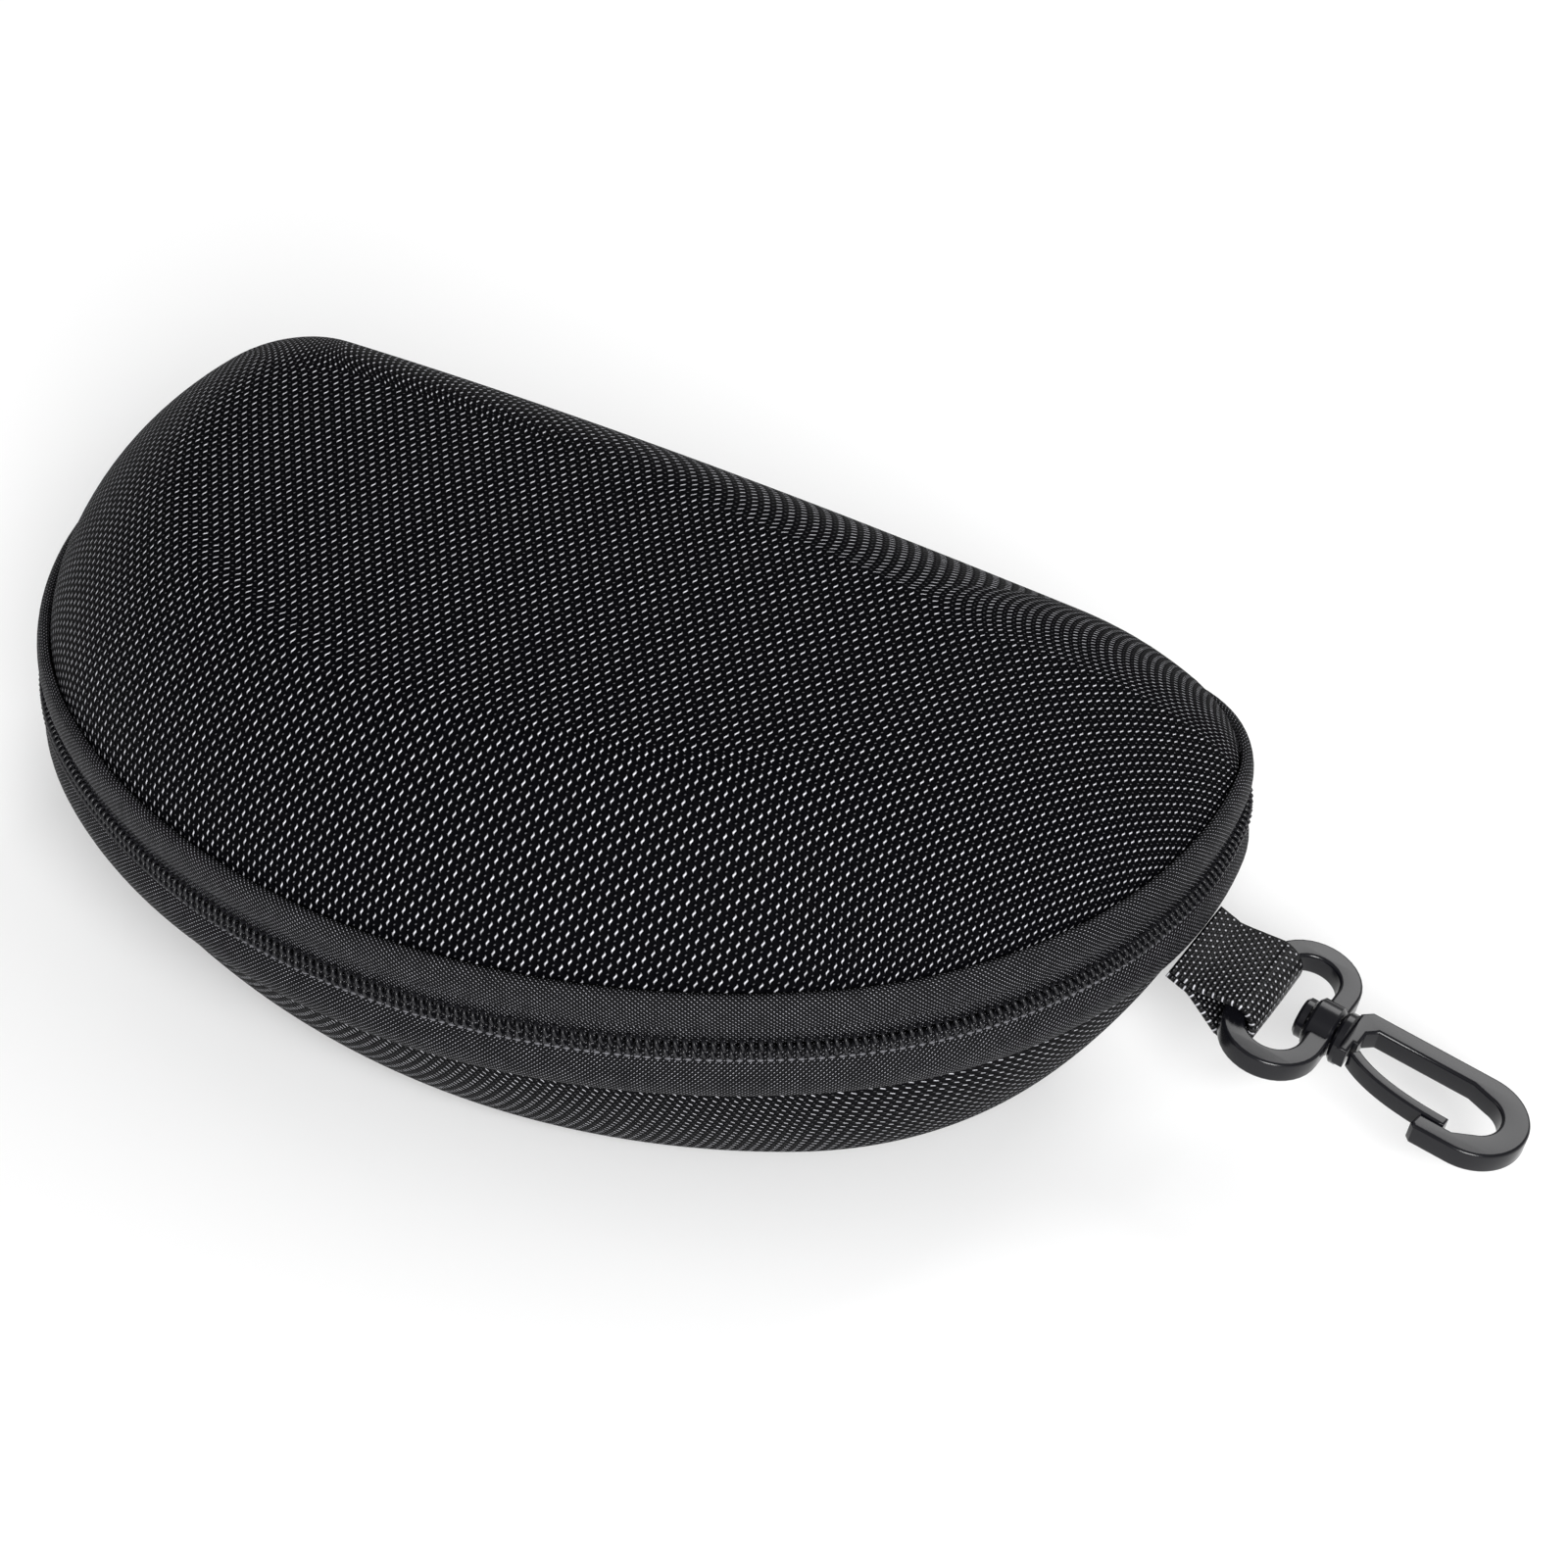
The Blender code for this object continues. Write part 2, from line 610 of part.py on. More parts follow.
LOOP_Y = WIDEST_Y + WEBBING_OFFSET
LOOP_BAR = Vector((HALF_WIDTH + LOOP_BAR_OUT, LOOP_Y, RIM_Z - LOOP_BAR_DROP))
LOOP_ROOT = Vector((HALF_WIDTH - BAND_INSET + PLY_GAP + 0.2 * MM, LOOP_Y, RIM_Z - LOOP_ROOT_DROP))
BAR_ALONG = -(RING_WIDTH - RING_BAR / 2)  # the ring's near bar, along the hook's axis
HOOK_ORIGIN = LOOP_BAR - HOOK_PLANE @ Vector((BAR_ALONG, 0.0, 0.0))
HOOK_PLACE = Matrix.Translation(HOOK_ORIGIN) @ HOOK_PLANE


def in_hook_plane(along, across, up=0.0):
    return HOOK_PLACE @ Vector((along, across, up))


def webbing_loop():
    """A strap folded round the ring's bar, its two ends laid together at the root."""
    run = LOOP_BAR - LOOP_ROOT
    length = sqrt(run.x**2 + run.z**2)
    inner = sqrt((RING_BAR / 2) ** 2 + (HOOK_THICKNESS / 2) ** 2) + RUN_GAP
    outer = inner + WEBBING_THICKNESS
    steps = 8
    lean = asin((outer - WEBBING_THICKNESS) / length)
    fold = [pi / 2 + lean - (pi + 2 * lean) * k / steps for k in range(steps + 1)]
    shape = [(0.0, -WEBBING_THICKNESS), (0.0, WEBBING_THICKNESS)]
    shape += [(length + outer * cos(a), outer * sin(a)) for a in fold]
    hole_start = 0.42 * length
    hole = [(hole_start, 0.0)] + [(length + inner * cos(a), inner * sin(a)) for a in fold]
    droop = atan2(-run.z, run.x)
    place = (Matrix.Translation(LOOP_ROOT) @ Matrix.Rotation(droop, 4, "Y")
             @ Matrix.Rotation(pi / 2, 4, "X"))
    return flat_plate("webbing_loop", [shape[::-1], hole], WEBBING_WIDTH, place, WEBBING)


def cylinder_along(name, start, end, radius, finish, steps=20):
    """A cylinder on the swivel axis, from start to end along it."""
    mesh = bmesh.new()
    bmesh.ops.create_cone(mesh, cap_ends=True, segments=steps, radius1=radius, radius2=radius,
                          depth=end - start)
    turn = Matrix.Rotation(pi / 2, 4, "Y")
    mesh.transform(HOOK_PLACE @ Matrix.Translation(((start + end) / 2, 0, 0)) @ turn)
    return add_object(name, mesh, finish)


def carve(base, cutters):
    """Cut the cutters out of base and keep one closed mesh."""
    for cutter in cutters:
        cut = base.modifiers.new("cut_" + cutter.name, "BOOLEAN")
        cut.operation = "DIFFERENCE"
        cut.object = cutter
    bpy.context.view_layer.update()
    evaluated = base.evaluated_get(bpy.context.evaluated_depsgraph_get())
    base.data = bpy.data.meshes.new_from_object(evaluated)
    base.modifiers.clear()
    for cutter in cutters:
        bpy.data.objects.remove(cutter, do_unlink=True)
    return base


def swivel_ring():
    """The ring that the webbing holds, with the boss that the hook's stem turns in."""
    outer = rounded_box(-RING_WIDTH, 0.0, -RING_LENGTH / 2, RING_LENGTH / 2, RING_WIDTH / 2, 6)
    inner = rounded_box(-RING_WIDTH + RING_BAR, -RING_BAR, -RING_LENGTH / 2 + RING_BAR,
                        RING_LENGTH / 2 - RING_BAR, RING_WIDTH / 2 - RING_BAR, 6)
    ring_body = flat_plate("swivel_ring", [outer, inner], HOOK_THICKNESS, HOOK_PLACE, ACETAL,
                           0.35 * MM)
    ring_body.data.transform(ring_body.matrix_world)
    ring_body.matrix_world = Matrix.Identity(4)
    boss = cylinder_along("ring_boss", -BOSS_LENGTH, -RUN_GAP / 2, BOSS_RADIUS, ACETAL)
    body = united(ring_body, [boss])
    hole = cylinder_along("stem_hole", -BOSS_LENGTH - 1 * MM, 1 * MM, STEM_RADIUS + RUN_GAP,
                          ACETAL)
    carve(body, [hole])
    shade_round(body)
    return body


def hook_outline():
    """The hook's J in its own plane: base, long bar, round end and nose."""
    end_radius = (HOOK_OUTER - HOOK_INNER) / 2
    centre = (HOOK_LENGTH - end_radius, (HOOK_OUTER + HOOK_INNER) / 2)
    base = FLANGE_LENGTH + RUN_GAP / 2 - 0.2 * MM
    inner_radius = end_radius - HOOK_END_BAND
    outer = [(centre[0] + end_radius * cos(a), centre[1] + end_radius * sin(a))
             for a in (pi / 2 - pi * k / 12 for k in range(13))]
    nose = [(NOSE_START + 0.6 * MM, HOOK_INNER), (NOSE_START, HOOK_INNER + 0.6 * MM),
            (NOSE_START + 0.3 * MM, HOOK_INNER + NOSE_BAND)]
    low, high = HOOK_INNER + NOSE_BAND, HOOK_OUTER - HOOK_BAR
    inner = [(centre[0] - 1.0 * MM, low)]
    inner += [(centre[0] + inner_radius * cos(a), centre[1] + inner_radius * sin(a) * 1.02)
              for a in (-pi * 0.36 + pi * 0.8 * k / 7 for k in range(8))]
    inner += [(centre[0] - 2.0 * MM, high)]
    slot_end = base + 2.0 * MM
    inner += [(slot_end + 1.2 * MM, high), (slot_end, high - 1.2 * MM)]
    gate_root = gate_line()[0]
    inner += [(slot_end, gate_root[1] + GATE_WIDTH * 0.5 + RUN_GAP)]
    foot = [(slot_end - 0.6 * MM, gate_root[1] + GATE_WIDTH * 0.5 + RUN_GAP),
            (slot_end - 0.6 * MM, -BOSS_RADIUS), (base, -BOSS_RADIUS)]
    return [(base, HOOK_OUTER - 1.2 * MM), (base + 1.2 * MM, HOOK_OUTER)] + outer + nose + \
        inner + foot


def gate_line():
    """Centre line of the spring tongue, from its root at the base to its tip in the nose."""
    root = (FLANGE_LENGTH + 2.0 * MM, -2.3 * MM)
    tip = (GATE_TIP, HOOK_INNER + NOSE_BAND + RUN_GAP + GATE_WIDTH / 2)
    sag = ((6.5 * MM, -4.7 * MM), (11.5 * MM, tip[1] + 0.1 * MM))
    points = []
    for k in range(9):
        t = k / 8
        weights = ((1 - t) ** 3, 3 * t * (1 - t) ** 2, 3 * t * t * (1 - t), t**3)
        points.append(tuple(sum(w * p[i] for w, p in zip(weights, (root, *sag, tip)))
                            for i in range(2)))
    return points


def snap_hook():
    """The hook with its flange, the stem through the ring's boss and the stem's head."""
    plate = flat_plate("snap_hook", [hook_outline()[::-1]], HOOK_THICKNESS, HOOK_PLACE, ACETAL,
                       0.3 * MM)
    plate.data.transform(plate.matrix_world)
    plate.matrix_world = Matrix.Identity(4)
    flange = cylinder_along("hook_flange", RUN_GAP / 2, FLANGE_LENGTH + RUN_GAP / 2, BOSS_RADIUS,
                            ACETAL)
    head_start = -BOSS_LENGTH - RUN_GAP - STEM_HEAD_LENGTH
    stem = cylinder_along("hook_stem", head_start + 0.2 * MM, RUN_GAP + 0.4 * MM, STEM_RADIUS,
                          ACETAL)
    head = cylinder_along("hook_stem_head", head_start, head_start + STEM_HEAD_LENGTH,
                          STEM_HEAD_RADIUS, ACETAL)
    body = united(plate, [flange, stem, head])
    shade_round(body)
    return body


def hook_gate():
    """The spring tongue: a narrow strip beside the hook's base, closing its mouth."""
    line = gate_line()
    sides = ([], [])
    for k, (x, y) in enumerate(line):
        before, after = line[max(k - 1, 0)], line[min(k + 1, len(line) - 1)]
        run, rise = after[0] - before[0], after[1] - before[1]
        size = sqrt(run * run + rise * rise)
        for edge, sign in zip(sides, (1, -1)):
            edge.append((x - sign * rise / size * GATE_WIDTH / 2,
                         y + sign * run / size * GATE_WIDTH / 2))
    outline = sides[1] + sides[0][::-1]
    return flat_plate("hook_gate", [outline], HOOK_THICKNESS - 0.3 * MM, HOOK_PLACE, ACETAL,
                      0.25 * MM)


# --- Assembly ----------------------------------------------------------------------------


def build():
    shell_plies(LOWER, "lower")
    rim_strips(LOWER, "lower")
    hinge_strips()
    upper = shell_plies(UPPER, "upper") + rim_strips(UPPER, "upper")
    lid_axis = joint_axis("lid_hinge_axis", (0.0, HINGE_Y, RIM_Z))
    for piece in upper:
        attach(piece, lid_axis)

    centre, _ = corner_centre(RIM)
    slider_axis = joint_axis("slider_axis", (centre[0], WIDEST_Y + centre[1], RIM_Z))
    attach(slider(), slider_axis)
    tab_axis = joint_axis("tab_axis", corner_point(radians(SLIDER_ANGLE), tab_inset()),
                          slider_axis)
    attach(pull_tab(), tab_axis)

    loop_axis = joint_axis("loop_axis", LOOP_ROOT)
    attach(webbing_loop(), loop_axis)
    ring_axis = joint_axis("ring_axis", LOOP_BAR, loop_axis)
    attach(swivel_ring(), ring_axis)
    swivel_axis = joint_axis("swivel_axis", HOOK_ORIGIN, ring_axis, HOOK_PLANE)
    attach(snap_hook(), swivel_axis)
    gate_axis = joint_axis("gate_axis", in_hook_plane(*gate_line()[0]), swivel_axis, HOOK_PLANE)
    attach(hook_gate(), gate_axis)


build()
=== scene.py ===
"""Looks of a zipped hard-shell eyeglasses case: moulded ballistic weave, coil zip, snap hook."""

import json
from math import asin, atan2, cos, pi, radians, sin, sqrt

import bmesh
import bpy
from bpy.props import FloatProperty, PointerProperty, StringProperty
from mathutils import Matrix, Vector


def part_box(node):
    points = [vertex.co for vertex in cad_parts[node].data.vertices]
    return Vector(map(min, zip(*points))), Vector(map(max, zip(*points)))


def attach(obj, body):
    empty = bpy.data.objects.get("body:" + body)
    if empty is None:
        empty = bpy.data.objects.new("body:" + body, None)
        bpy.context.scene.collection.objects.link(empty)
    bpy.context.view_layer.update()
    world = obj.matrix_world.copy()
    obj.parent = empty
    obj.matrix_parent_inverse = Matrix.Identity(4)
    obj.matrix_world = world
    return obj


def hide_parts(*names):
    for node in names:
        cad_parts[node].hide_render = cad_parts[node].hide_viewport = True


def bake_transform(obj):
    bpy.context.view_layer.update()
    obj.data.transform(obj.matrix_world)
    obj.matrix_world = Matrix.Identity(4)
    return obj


bl_info = {
    "name": "Eyeglasses case",
    "blender": (4, 5, 0),
    "version": (1, 0, 0),
    "location": "View3D > Sidebar > Case",
    "description": "Builds the fabric, zip, webbing and snap hook of a hard-shell glasses case",
    "category": "Object",
}

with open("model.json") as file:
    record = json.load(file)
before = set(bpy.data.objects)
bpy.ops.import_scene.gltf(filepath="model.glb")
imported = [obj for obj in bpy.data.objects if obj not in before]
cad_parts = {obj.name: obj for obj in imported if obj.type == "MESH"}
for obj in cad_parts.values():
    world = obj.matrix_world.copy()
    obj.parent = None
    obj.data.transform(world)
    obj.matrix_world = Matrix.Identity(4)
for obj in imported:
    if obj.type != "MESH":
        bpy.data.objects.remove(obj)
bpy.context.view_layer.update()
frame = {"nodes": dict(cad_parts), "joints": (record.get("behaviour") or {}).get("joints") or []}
MM = 0.001
UPPER, LOWER = 1, -1
MERGE = 0.002 * MM  # points closer than this become one
SHARP = radians(40)  # edges that turn more than this aren't smoothed
RIM_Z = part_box("lower_zip_coil")[1][2] + 0.2 * MM


def length(name, description, millimetres):
    """A length that the panel shows, kept in metres."""
    return FloatProperty(name=name, description=description, default=millimetres * MM,
                         unit="LENGTH", subtype="DISTANCE")


def colour(name, description, value):
    """A colour that the panel shows, as an sRGB hex value."""
    return StringProperty(name=name, description=description, default=value)


class CaseSizes(bpy.types.PropertyGroup):
    """Sizes of the two moulded shells."""

    half_width: length("Half width", "Half the rim's width", 80.0)
    front: length("Front depth", "Rim in front of its widest line", 67.5)
    back: length("Back depth", "Rim behind its widest line", 27.0)
    corner: length("Corner radius", "Radius of the rim's back corners", 18.0)
    sharpness: length("Front sharpness", "Front depth less the side radius", 6.0)
    widest_y: length("Widest line", "Place of the rim's widest line", 25.25)
    upper_height: length("Upper height", "Lid's height at the crown's front edge", 29.5)
    back_rise: length("Back rise", "How much higher the crown's back edge is", 4.6)
    bulge: length("Bulge", "Rise of the crown's middle", 1.2)
    arch: length("Arch", "Rise of the crown's middle over its ends", 2.0)
    lean: length("Lean", "How much the lid's left end stands over its middle", 3.0)
    lower_depth: length("Lower depth", "Depth of the lower shell", 33.5)
    edge: length("Shell edge", "Zip's centre line to the shell's cut edge", 4.6)
    band: length("Band height", "Where the wall leaves the zip band", 7.0)
    inset: length("Band inset", "Shell's edge inside the rim line", 1.2)
    cover: length("Cover", "Thickness of the covering", 0.8)
    wall: length("Wall", "Thickness of all plies", 7.0)


class ZipSizes(bpy.types.PropertyGroup):
    """Sizes of the zip."""

    tape_start: length("Tape start", "Zip's centre line to the tape's fold", 2.2)
    tape_end: length("Tape end", "Zip's centre line to the tape's seam", 7.6)
    tape: length("Tape", "Thickness of the tape", 0.6)
    bow: length("Bow", "How far the tape stands out in its middle", 0.9)
    pitch: length("Coil pitch", "Spacing of the coil's loops", 1.1)
    wire: length("Coil wire", "Radius of the coil's filament", 0.24)
    stitch: length("Stitch", "Spacing of the coil's stitches", 1.2)
    end: length("Tape's end", "Where the tapes stop on the back", 57.0)


class HookSizes(bpy.types.PropertyGroup):
    """Sizes of the swivel ring and the snap hook, in the hook's own plane."""

    droop: FloatProperty(name="Droop", description="Tilt of the hook, degrees", default=12.0)
    thickness: length("Thickness", "Thickness of ring and hook", 3.0)
    edge: length("Edge", "Rounding of their edges", 0.42)
    gap: length("Gap", "Between pieces that turn", 0.3)
    ring_width: length("Ring width", "Along the swivel axis", 13.0)
    ring_length: length("Ring length", "Across the swivel axis", 23.8)
    ring_bar: length("Ring bar", "Width of the ring's band", 2.9)
    boss: length("Collar radius", "Radius of collar and flange", 3.4)
    collar: length("Collar", "Length of the collar", 3.6)
    stem: length("Stem radius", "Radius of the stem", 1.4)
    head: length("Head radius", "Radius of the stem's head", 2.6)
    head_length: length("Head", "Length of the stem's head", 1.2)
    flange: length("Flange", "Length of the hook's flange", 1.2)
    reach: length("Reach", "From the collar to the round end", 26.4)
    bar: length("Bar", "Width of the long bar", 2.7)
    outer: length("Outer edge", "Far edge of the bar from the swivel axis", 5.1)
    inner: length("Inner edge", "Far edge of the nose from the swivel axis", -9.0)
    end_band: length("End band", "Width of the round end", 3.6)
    nose: length("Nose", "Where the nose starts", 13.7)
    nose_band: length("Nose band", "Width of the nose", 2.4)
    tongue: length("Tongue", "Width of the spring tongue", 1.5)
    tip: length("Tongue tip", "Where the tongue ends", 17.2)


class CaseColours(bpy.types.PropertyGroup):
    """Colours of the finishes, as sRGB hex."""

    weave_low: colour("Weave, shade", "Between the yarns", "040406")
    # painted highlight: the colour on the floats' tops stands for light on the black yarn
    weave_painted_highlight: colour("Weave, crown", "On the yarns", "DCDCE2")
    tape_low: colour("Tape, shade", "Between the threads", "060608")
    # painted highlight on the tape's thread tops
    tape_painted_highlight: colour("Tape, crown", "On the threads", "A4A4AA")
    plastic: colour("Plastic", "Moulded hook", "0E0E12")
    coil: colour("Coil", "Nylon filament", "161619")
    metal: colour("Metal", "Plated slider", "8A8A8E")
    knit_low: colour("Lining, shade", "Between the loops", "0C0C0D")
    # painted highlight on the lining's loop tops
    knit_painted_highlight: colour("Lining, crown", "On the loops", "2A2A2D")
    foam: colour("Foam", "Pressed foam", "1C1C1E")
    thread: colour("Thread", "Stitches under the coil", "5C5C60")
    webbing_low: colour("Webbing, shade", "Between the yarns", "050507")
    # painted highlight on the webbing's yarn floats
    webbing_painted_highlight: colour("Webbing, crown", "On the yarns", "D0D0D6")
    paper: colour("Paper", "Floor of the stage", "F4F4F4")


# --- Nodes and colours -------------------------------------------------------------------


def linear(value):
    """An sRGB hex value as linear red, green, blue and alpha."""
    parts = [int(value[i:i + 2], 16) / 255 for i in (0, 2, 4)]
    return (*[c / 12.92 if c <= 0.04045 else ((c + 0.055) / 1.055) ** 2.4 for c in parts], 1.0)


def add_node(tree, kind, inputs=None, **settings):
    """Add a node with its settings, set or link its inputs, and return its outputs."""
    made = tree.nodes.new(kind)
    for key, value in settings.items():
        setattr(made, key, value)
    for key, value in (inputs or {}).items():
        if isinstance(value, bpy.types.NodeSocket):
            tree.links.new(value, made.inputs[key])
        else:
            made.inputs[key].default_value = value
    return made.outputs


def new_material(name, **sockets):
    """A material with its Principled shader's uniform values set, its tree and its shader."""
    made = bpy.data.materials.new(name)
    made.use_nodes = True
    shader = made.node_tree.nodes["Principled BSDF"]
    for key, value in sockets.items():
        shader.inputs[key.replace("_", " ")].default_value = value
    return made, made.node_tree, shader


ONE_BAND = 0.1 * pi  # a wave texture's scale that gives one band for each unit
WEFT_SHARE = 0.55  # height of the sunk yarns, as a share of the floats'
FLOAT_FOOT, FLOAT_TOP = 0.42, 0.9  # heights between which a float's painted highlight turns from none to full
MOTTLE, MOTTLE_SCALE = 0.5, 700.0  # how much painted highlight the dullest floats lose at random, and the patches' scale


def woven(name, low, high, across, along, relief, roughness, lean=0.16, gloss=0.2, reach=0.7,
          narrow=1.0):
    """Yarns crossing over and under: the floats' tops get a painted highlight in the high colour,
    the gaps the low colour as painted shade.

    Across and along are the yarns' spacings on the cloth's own map, which is in metres. Lean is
    how far each float bends sideways along its length, as a share of its width, reach is how
    soon it dips at its ends, and narrow is how thin its painted highlight line is.
    """
    made, tree, shader = new_material(name, Roughness=roughness, Specular_IOR_Level=gloss)
    cloth = add_node(tree, "ShaderNodeUVMap", uv_map="cloth")[0]
    cells = add_node(tree, "ShaderNodeMapping", {
        "Vector": cloth, "Scale": (1 / across, 1 / along, 1.0)})[0]
    parity = add_node(tree, "ShaderNodeTexChecker", {"Vector": cells, "Scale": 1.0})[1]
    spot = add_node(tree, "ShaderNodeSeparateXYZ", {"Vector": cells})
    turn = add_node(tree, "ShaderNodeMath", {0: spot["Y"], 1: 2 * pi}, operation="MULTIPLY")[0]
    swing = add_node(tree, "ShaderNodeMath", {0: turn}, operation="SINE")[0]
    bent = add_node(tree, "ShaderNodeMath", {0: swing, 1: lean, 2: spot["X"]},
                    operation="MULTIPLY_ADD")[0]
    bent_cells = add_node(tree, "ShaderNodeCombineXYZ", {"X": bent, "Y": spot["Y"]})[0]
    warp = add_node(tree, "ShaderNodeTexWave", {"Vector": bent_cells, "Scale": ONE_BAND},
                    bands_direction="X")["Fac"]
    weft = add_node(tree, "ShaderNodeTexWave", {"Vector": cells, "Scale": ONE_BAND},
                    bands_direction="Y")["Fac"]
    over = add_node(tree, "ShaderNodeMath", {0: weft, 1: reach, 2: 1 - reach},
                    operation="MULTIPLY_ADD")[0]
    under = add_node(tree, "ShaderNodeMath", {0: warp, 1: weft}, operation="MULTIPLY")[0]
    crest = add_node(tree, "ShaderNodeMath", {0: warp, 1: narrow}, operation="POWER")[0]
    warp_top = add_node(tree, "ShaderNodeMath", {0: crest, 1: over}, operation="MULTIPLY")[0]
    weft_top = add_node(tree, "ShaderNodeMath", {0: under, 1: WEFT_SHARE}, operation="MULTIPLY")[0]
    height = add_node(tree, "ShaderNodeMix", {0: parity, 2: weft_top, 3: warp_top})[0]
    place = add_node(tree, "ShaderNodeTexCoord")["Object"]
    tone = add_node(tree, "ShaderNodeTexNoise", {"Vector": place, "Scale": MOTTLE_SCALE,
                                                 "Detail": 2.0})[0]
    strength = add_node(tree, "ShaderNodeMapRange", {
        "Value": tone, "From Min": 0.3, "From Max": 0.7, "To Min": 1 - MOTTLE, "To Max": 1.0})[0]
    # painted highlight: the floats' tops are mixed toward the high colour, dimmed at random by the
    # mottle
    highlight_mask = add_node(tree, "ShaderNodeMapRange", {
        "Value": height, "From Min": FLOAT_FOOT, "From Max": FLOAT_TOP},
        interpolation_type="SMOOTHSTEP")[0]
    painted_highlight = add_node(tree, "ShaderNodeMath", {0: highlight_mask, 1: strength},
                   operation="MULTIPLY")[0]
    # the yarn's colour: the low colour with painted shade in the gaps, the high colour as the
    # painted highlight
    yarn = add_node(tree, "ShaderNodeMix", {0: painted_highlight, 6: linear(low), 7: linear(high)},
                    data_type="RGBA")[2]
    bump = add_node(tree, "ShaderNodeBump", {"Height": height, "Strength": 1.0,
                                             "Distance": relief})[0]
    tree.links.new(yarn, shader.inputs["Base Color"])
    tree.links.new(bump, shader.inputs["Normal"])
    return made


def moulded(name, value, roughness, grain, relief):
    """Injection-moulded plastic: even colour, semi-gloss, a very slight orange peel."""
    made, tree, shader = new_material(name, Base_Color=linear(value), Roughness=roughness,
                                      Specular_IOR_Level=0.3)
    place = add_node(tree, "ShaderNodeTexCoord")["Object"]
    peel = add_node(tree, "ShaderNodeTexNoise", {"Vector": place, "Scale": 1 / grain,
                                                 "Detail": 4.0})[0]
    bump = add_node(tree, "ShaderNodeBump", {"Height": peel, "Strength": 0.35,
                                             "Distance": relief})[0]
    tree.links.new(bump, shader.inputs["Normal"])
    return made


def plated(name, value):
    """Dark nickel over die-cast zinc: bright, with a little tumbling wear in its gloss."""
    made, tree, shader = new_material(name, Base_Color=linear(value), Metallic=1.0)
    place = add_node(tree, "ShaderNodeTexCoord")["Object"]
    wear = add_node(tree, "ShaderNodeTexNoise", {"Vector": place, "Scale": 900.0,
                                                 "Detail": 3.0})[0]
    gloss = add_node(tree, "ShaderNodeMapRange", {"Value": wear, "To Min": 0.16,
                                                  "To Max": 0.34})[0]
    tree.links.new(gloss, shader.inputs["Roughness"])
    return made


# --- The rounded D -----------------------------------------------------------------------


def arc(centre, radius, start, end, steps):
    """Points along an arc, without its first."""
    angles = [start + (end - start) * k / steps for k in range(1, steps + 1)]
    return [(centre[0] + radius * cos(a), centre[1] + radius * sin(a)) for a in angles]


def rim_sizes(s, inset=0.0):
    """Half width, front, back, side radius, corner radius and shift of the rim's D."""
    return (s.half_width - inset, s.front - inset, s.back - inset,
            s.front - s.sharpness - inset, s.corner - inset, 0.0)


def half_outline(sizes, steps, start_x=0.0, start_angle=None):
    """The D's right half from its back, or from an angle on its corner, to its front."""
    half, front, back, side, corner, shift = sizes
    rise = back - corner
    reach = sqrt(max((side - corner) ** 2 - rise**2, 0.0))
    centre, meet = (half - side + reach, rise), atan2(rise, reach)
    middle = half - side
    front_radius = (middle**2 + front**2 - side**2) / (2 * (front - side))
    front_y = front_radius - front
    turn = atan2(-front_y, middle)
    if start_angle is None:
        points = [(start_x + (centre[0] - start_x) * k / steps, back) for k in range(steps + 1)]
        start_angle = pi / 2
    else:
        points = [(centre[0] + corner * cos(start_angle), centre[1] + corner * sin(start_angle))]
    points += arc(centre, corner, start_angle, meet, steps)
    points += arc((middle, 0.0), side, meet, turn, 2 * steps)
    points += arc((0.0, front_y), front_radius, turn, -pi / 2, 2 * steps)
    return [(x, y - shift) for x, y in points]


def mirrored(points):
    """A half outline that ends at x 0, with its left half added."""
    return points + [(-x, y) for x, y in reversed(points[:-1])]


# --- Meshes ------------------------------------------------------------------------------


def lofted(name, rows, cloth, around=False, caps=False):
    """A surface through rows of points, with its cloth map given by row and column."""
    count = len(rows[0])
    mesh = bmesh.new()
    layer = mesh.loops.layers.uv.new("cloth")
    grid = [[mesh.verts.new(p) for p in row] for row in rows]
    for i in range(len(rows) - 1):
        for k in range(count if around else count - 1):
            n = (k + 1) % count
            face = mesh.faces.new((grid[i][k], grid[i][n], grid[i + 1][n], grid[i + 1][k]))
            for loop, spot in zip(face.loops, ((i, k), (i, k + 1), (i + 1, k + 1), (i + 1, k))):
                loop[layer].uv = cloth(*spot)
    if caps:
        mesh.faces.new(grid[0])
        mesh.faces.new(grid[-1])
    bmesh.ops.remove_doubles(mesh, verts=mesh.verts, dist=MERGE)
    bmesh.ops.recalc_face_normals(mesh, faces=mesh.faces)
    return finished(name, mesh)


def finished(name, mesh):
    """A linked object, shaded smooth, from a bmesh that this frees."""
    data = bpy.data.meshes.new(name)
    mesh.to_mesh(data)
    mesh.free()
    data.shade_smooth()
    made = bpy.data.objects.new(name, data)
    bpy.context.scene.collection.objects.link(made)
    return made


def paint(piece, material):
    """Make a material the piece's only one."""
    piece.data.materials.clear()
    piece.data.materials.append(material)


def settle(piece, material, slot, *nodes, body=None):
    """Give a finished piece its material, the nodes it stands for and its body."""
    paint(piece, material)
    if nodes:
        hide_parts(*nodes)
    if body:
        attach(piece, body)
    return piece


def baked(piece):
    """Replace a piece's modifiers by their result."""
    bpy.context.view_layer.update()
    evaluated = piece.evaluated_get(bpy.context.evaluated_depsgraph_get())
    data = bpy.data.meshes.new_from_object(evaluated)
    piece.modifiers.clear()
    piece.data = data
    return piece


# --- Shells ------------------------------------------------------------------------------

WALL_STEPS, CROWN_STEPS, ARC_STEPS = 30, 14, 14
ROUNDNESS = {UPPER: 1.43, LOWER: 1.2}
CROWN_CORNER = 7.0  # radius of the crown's back corners, millimetres
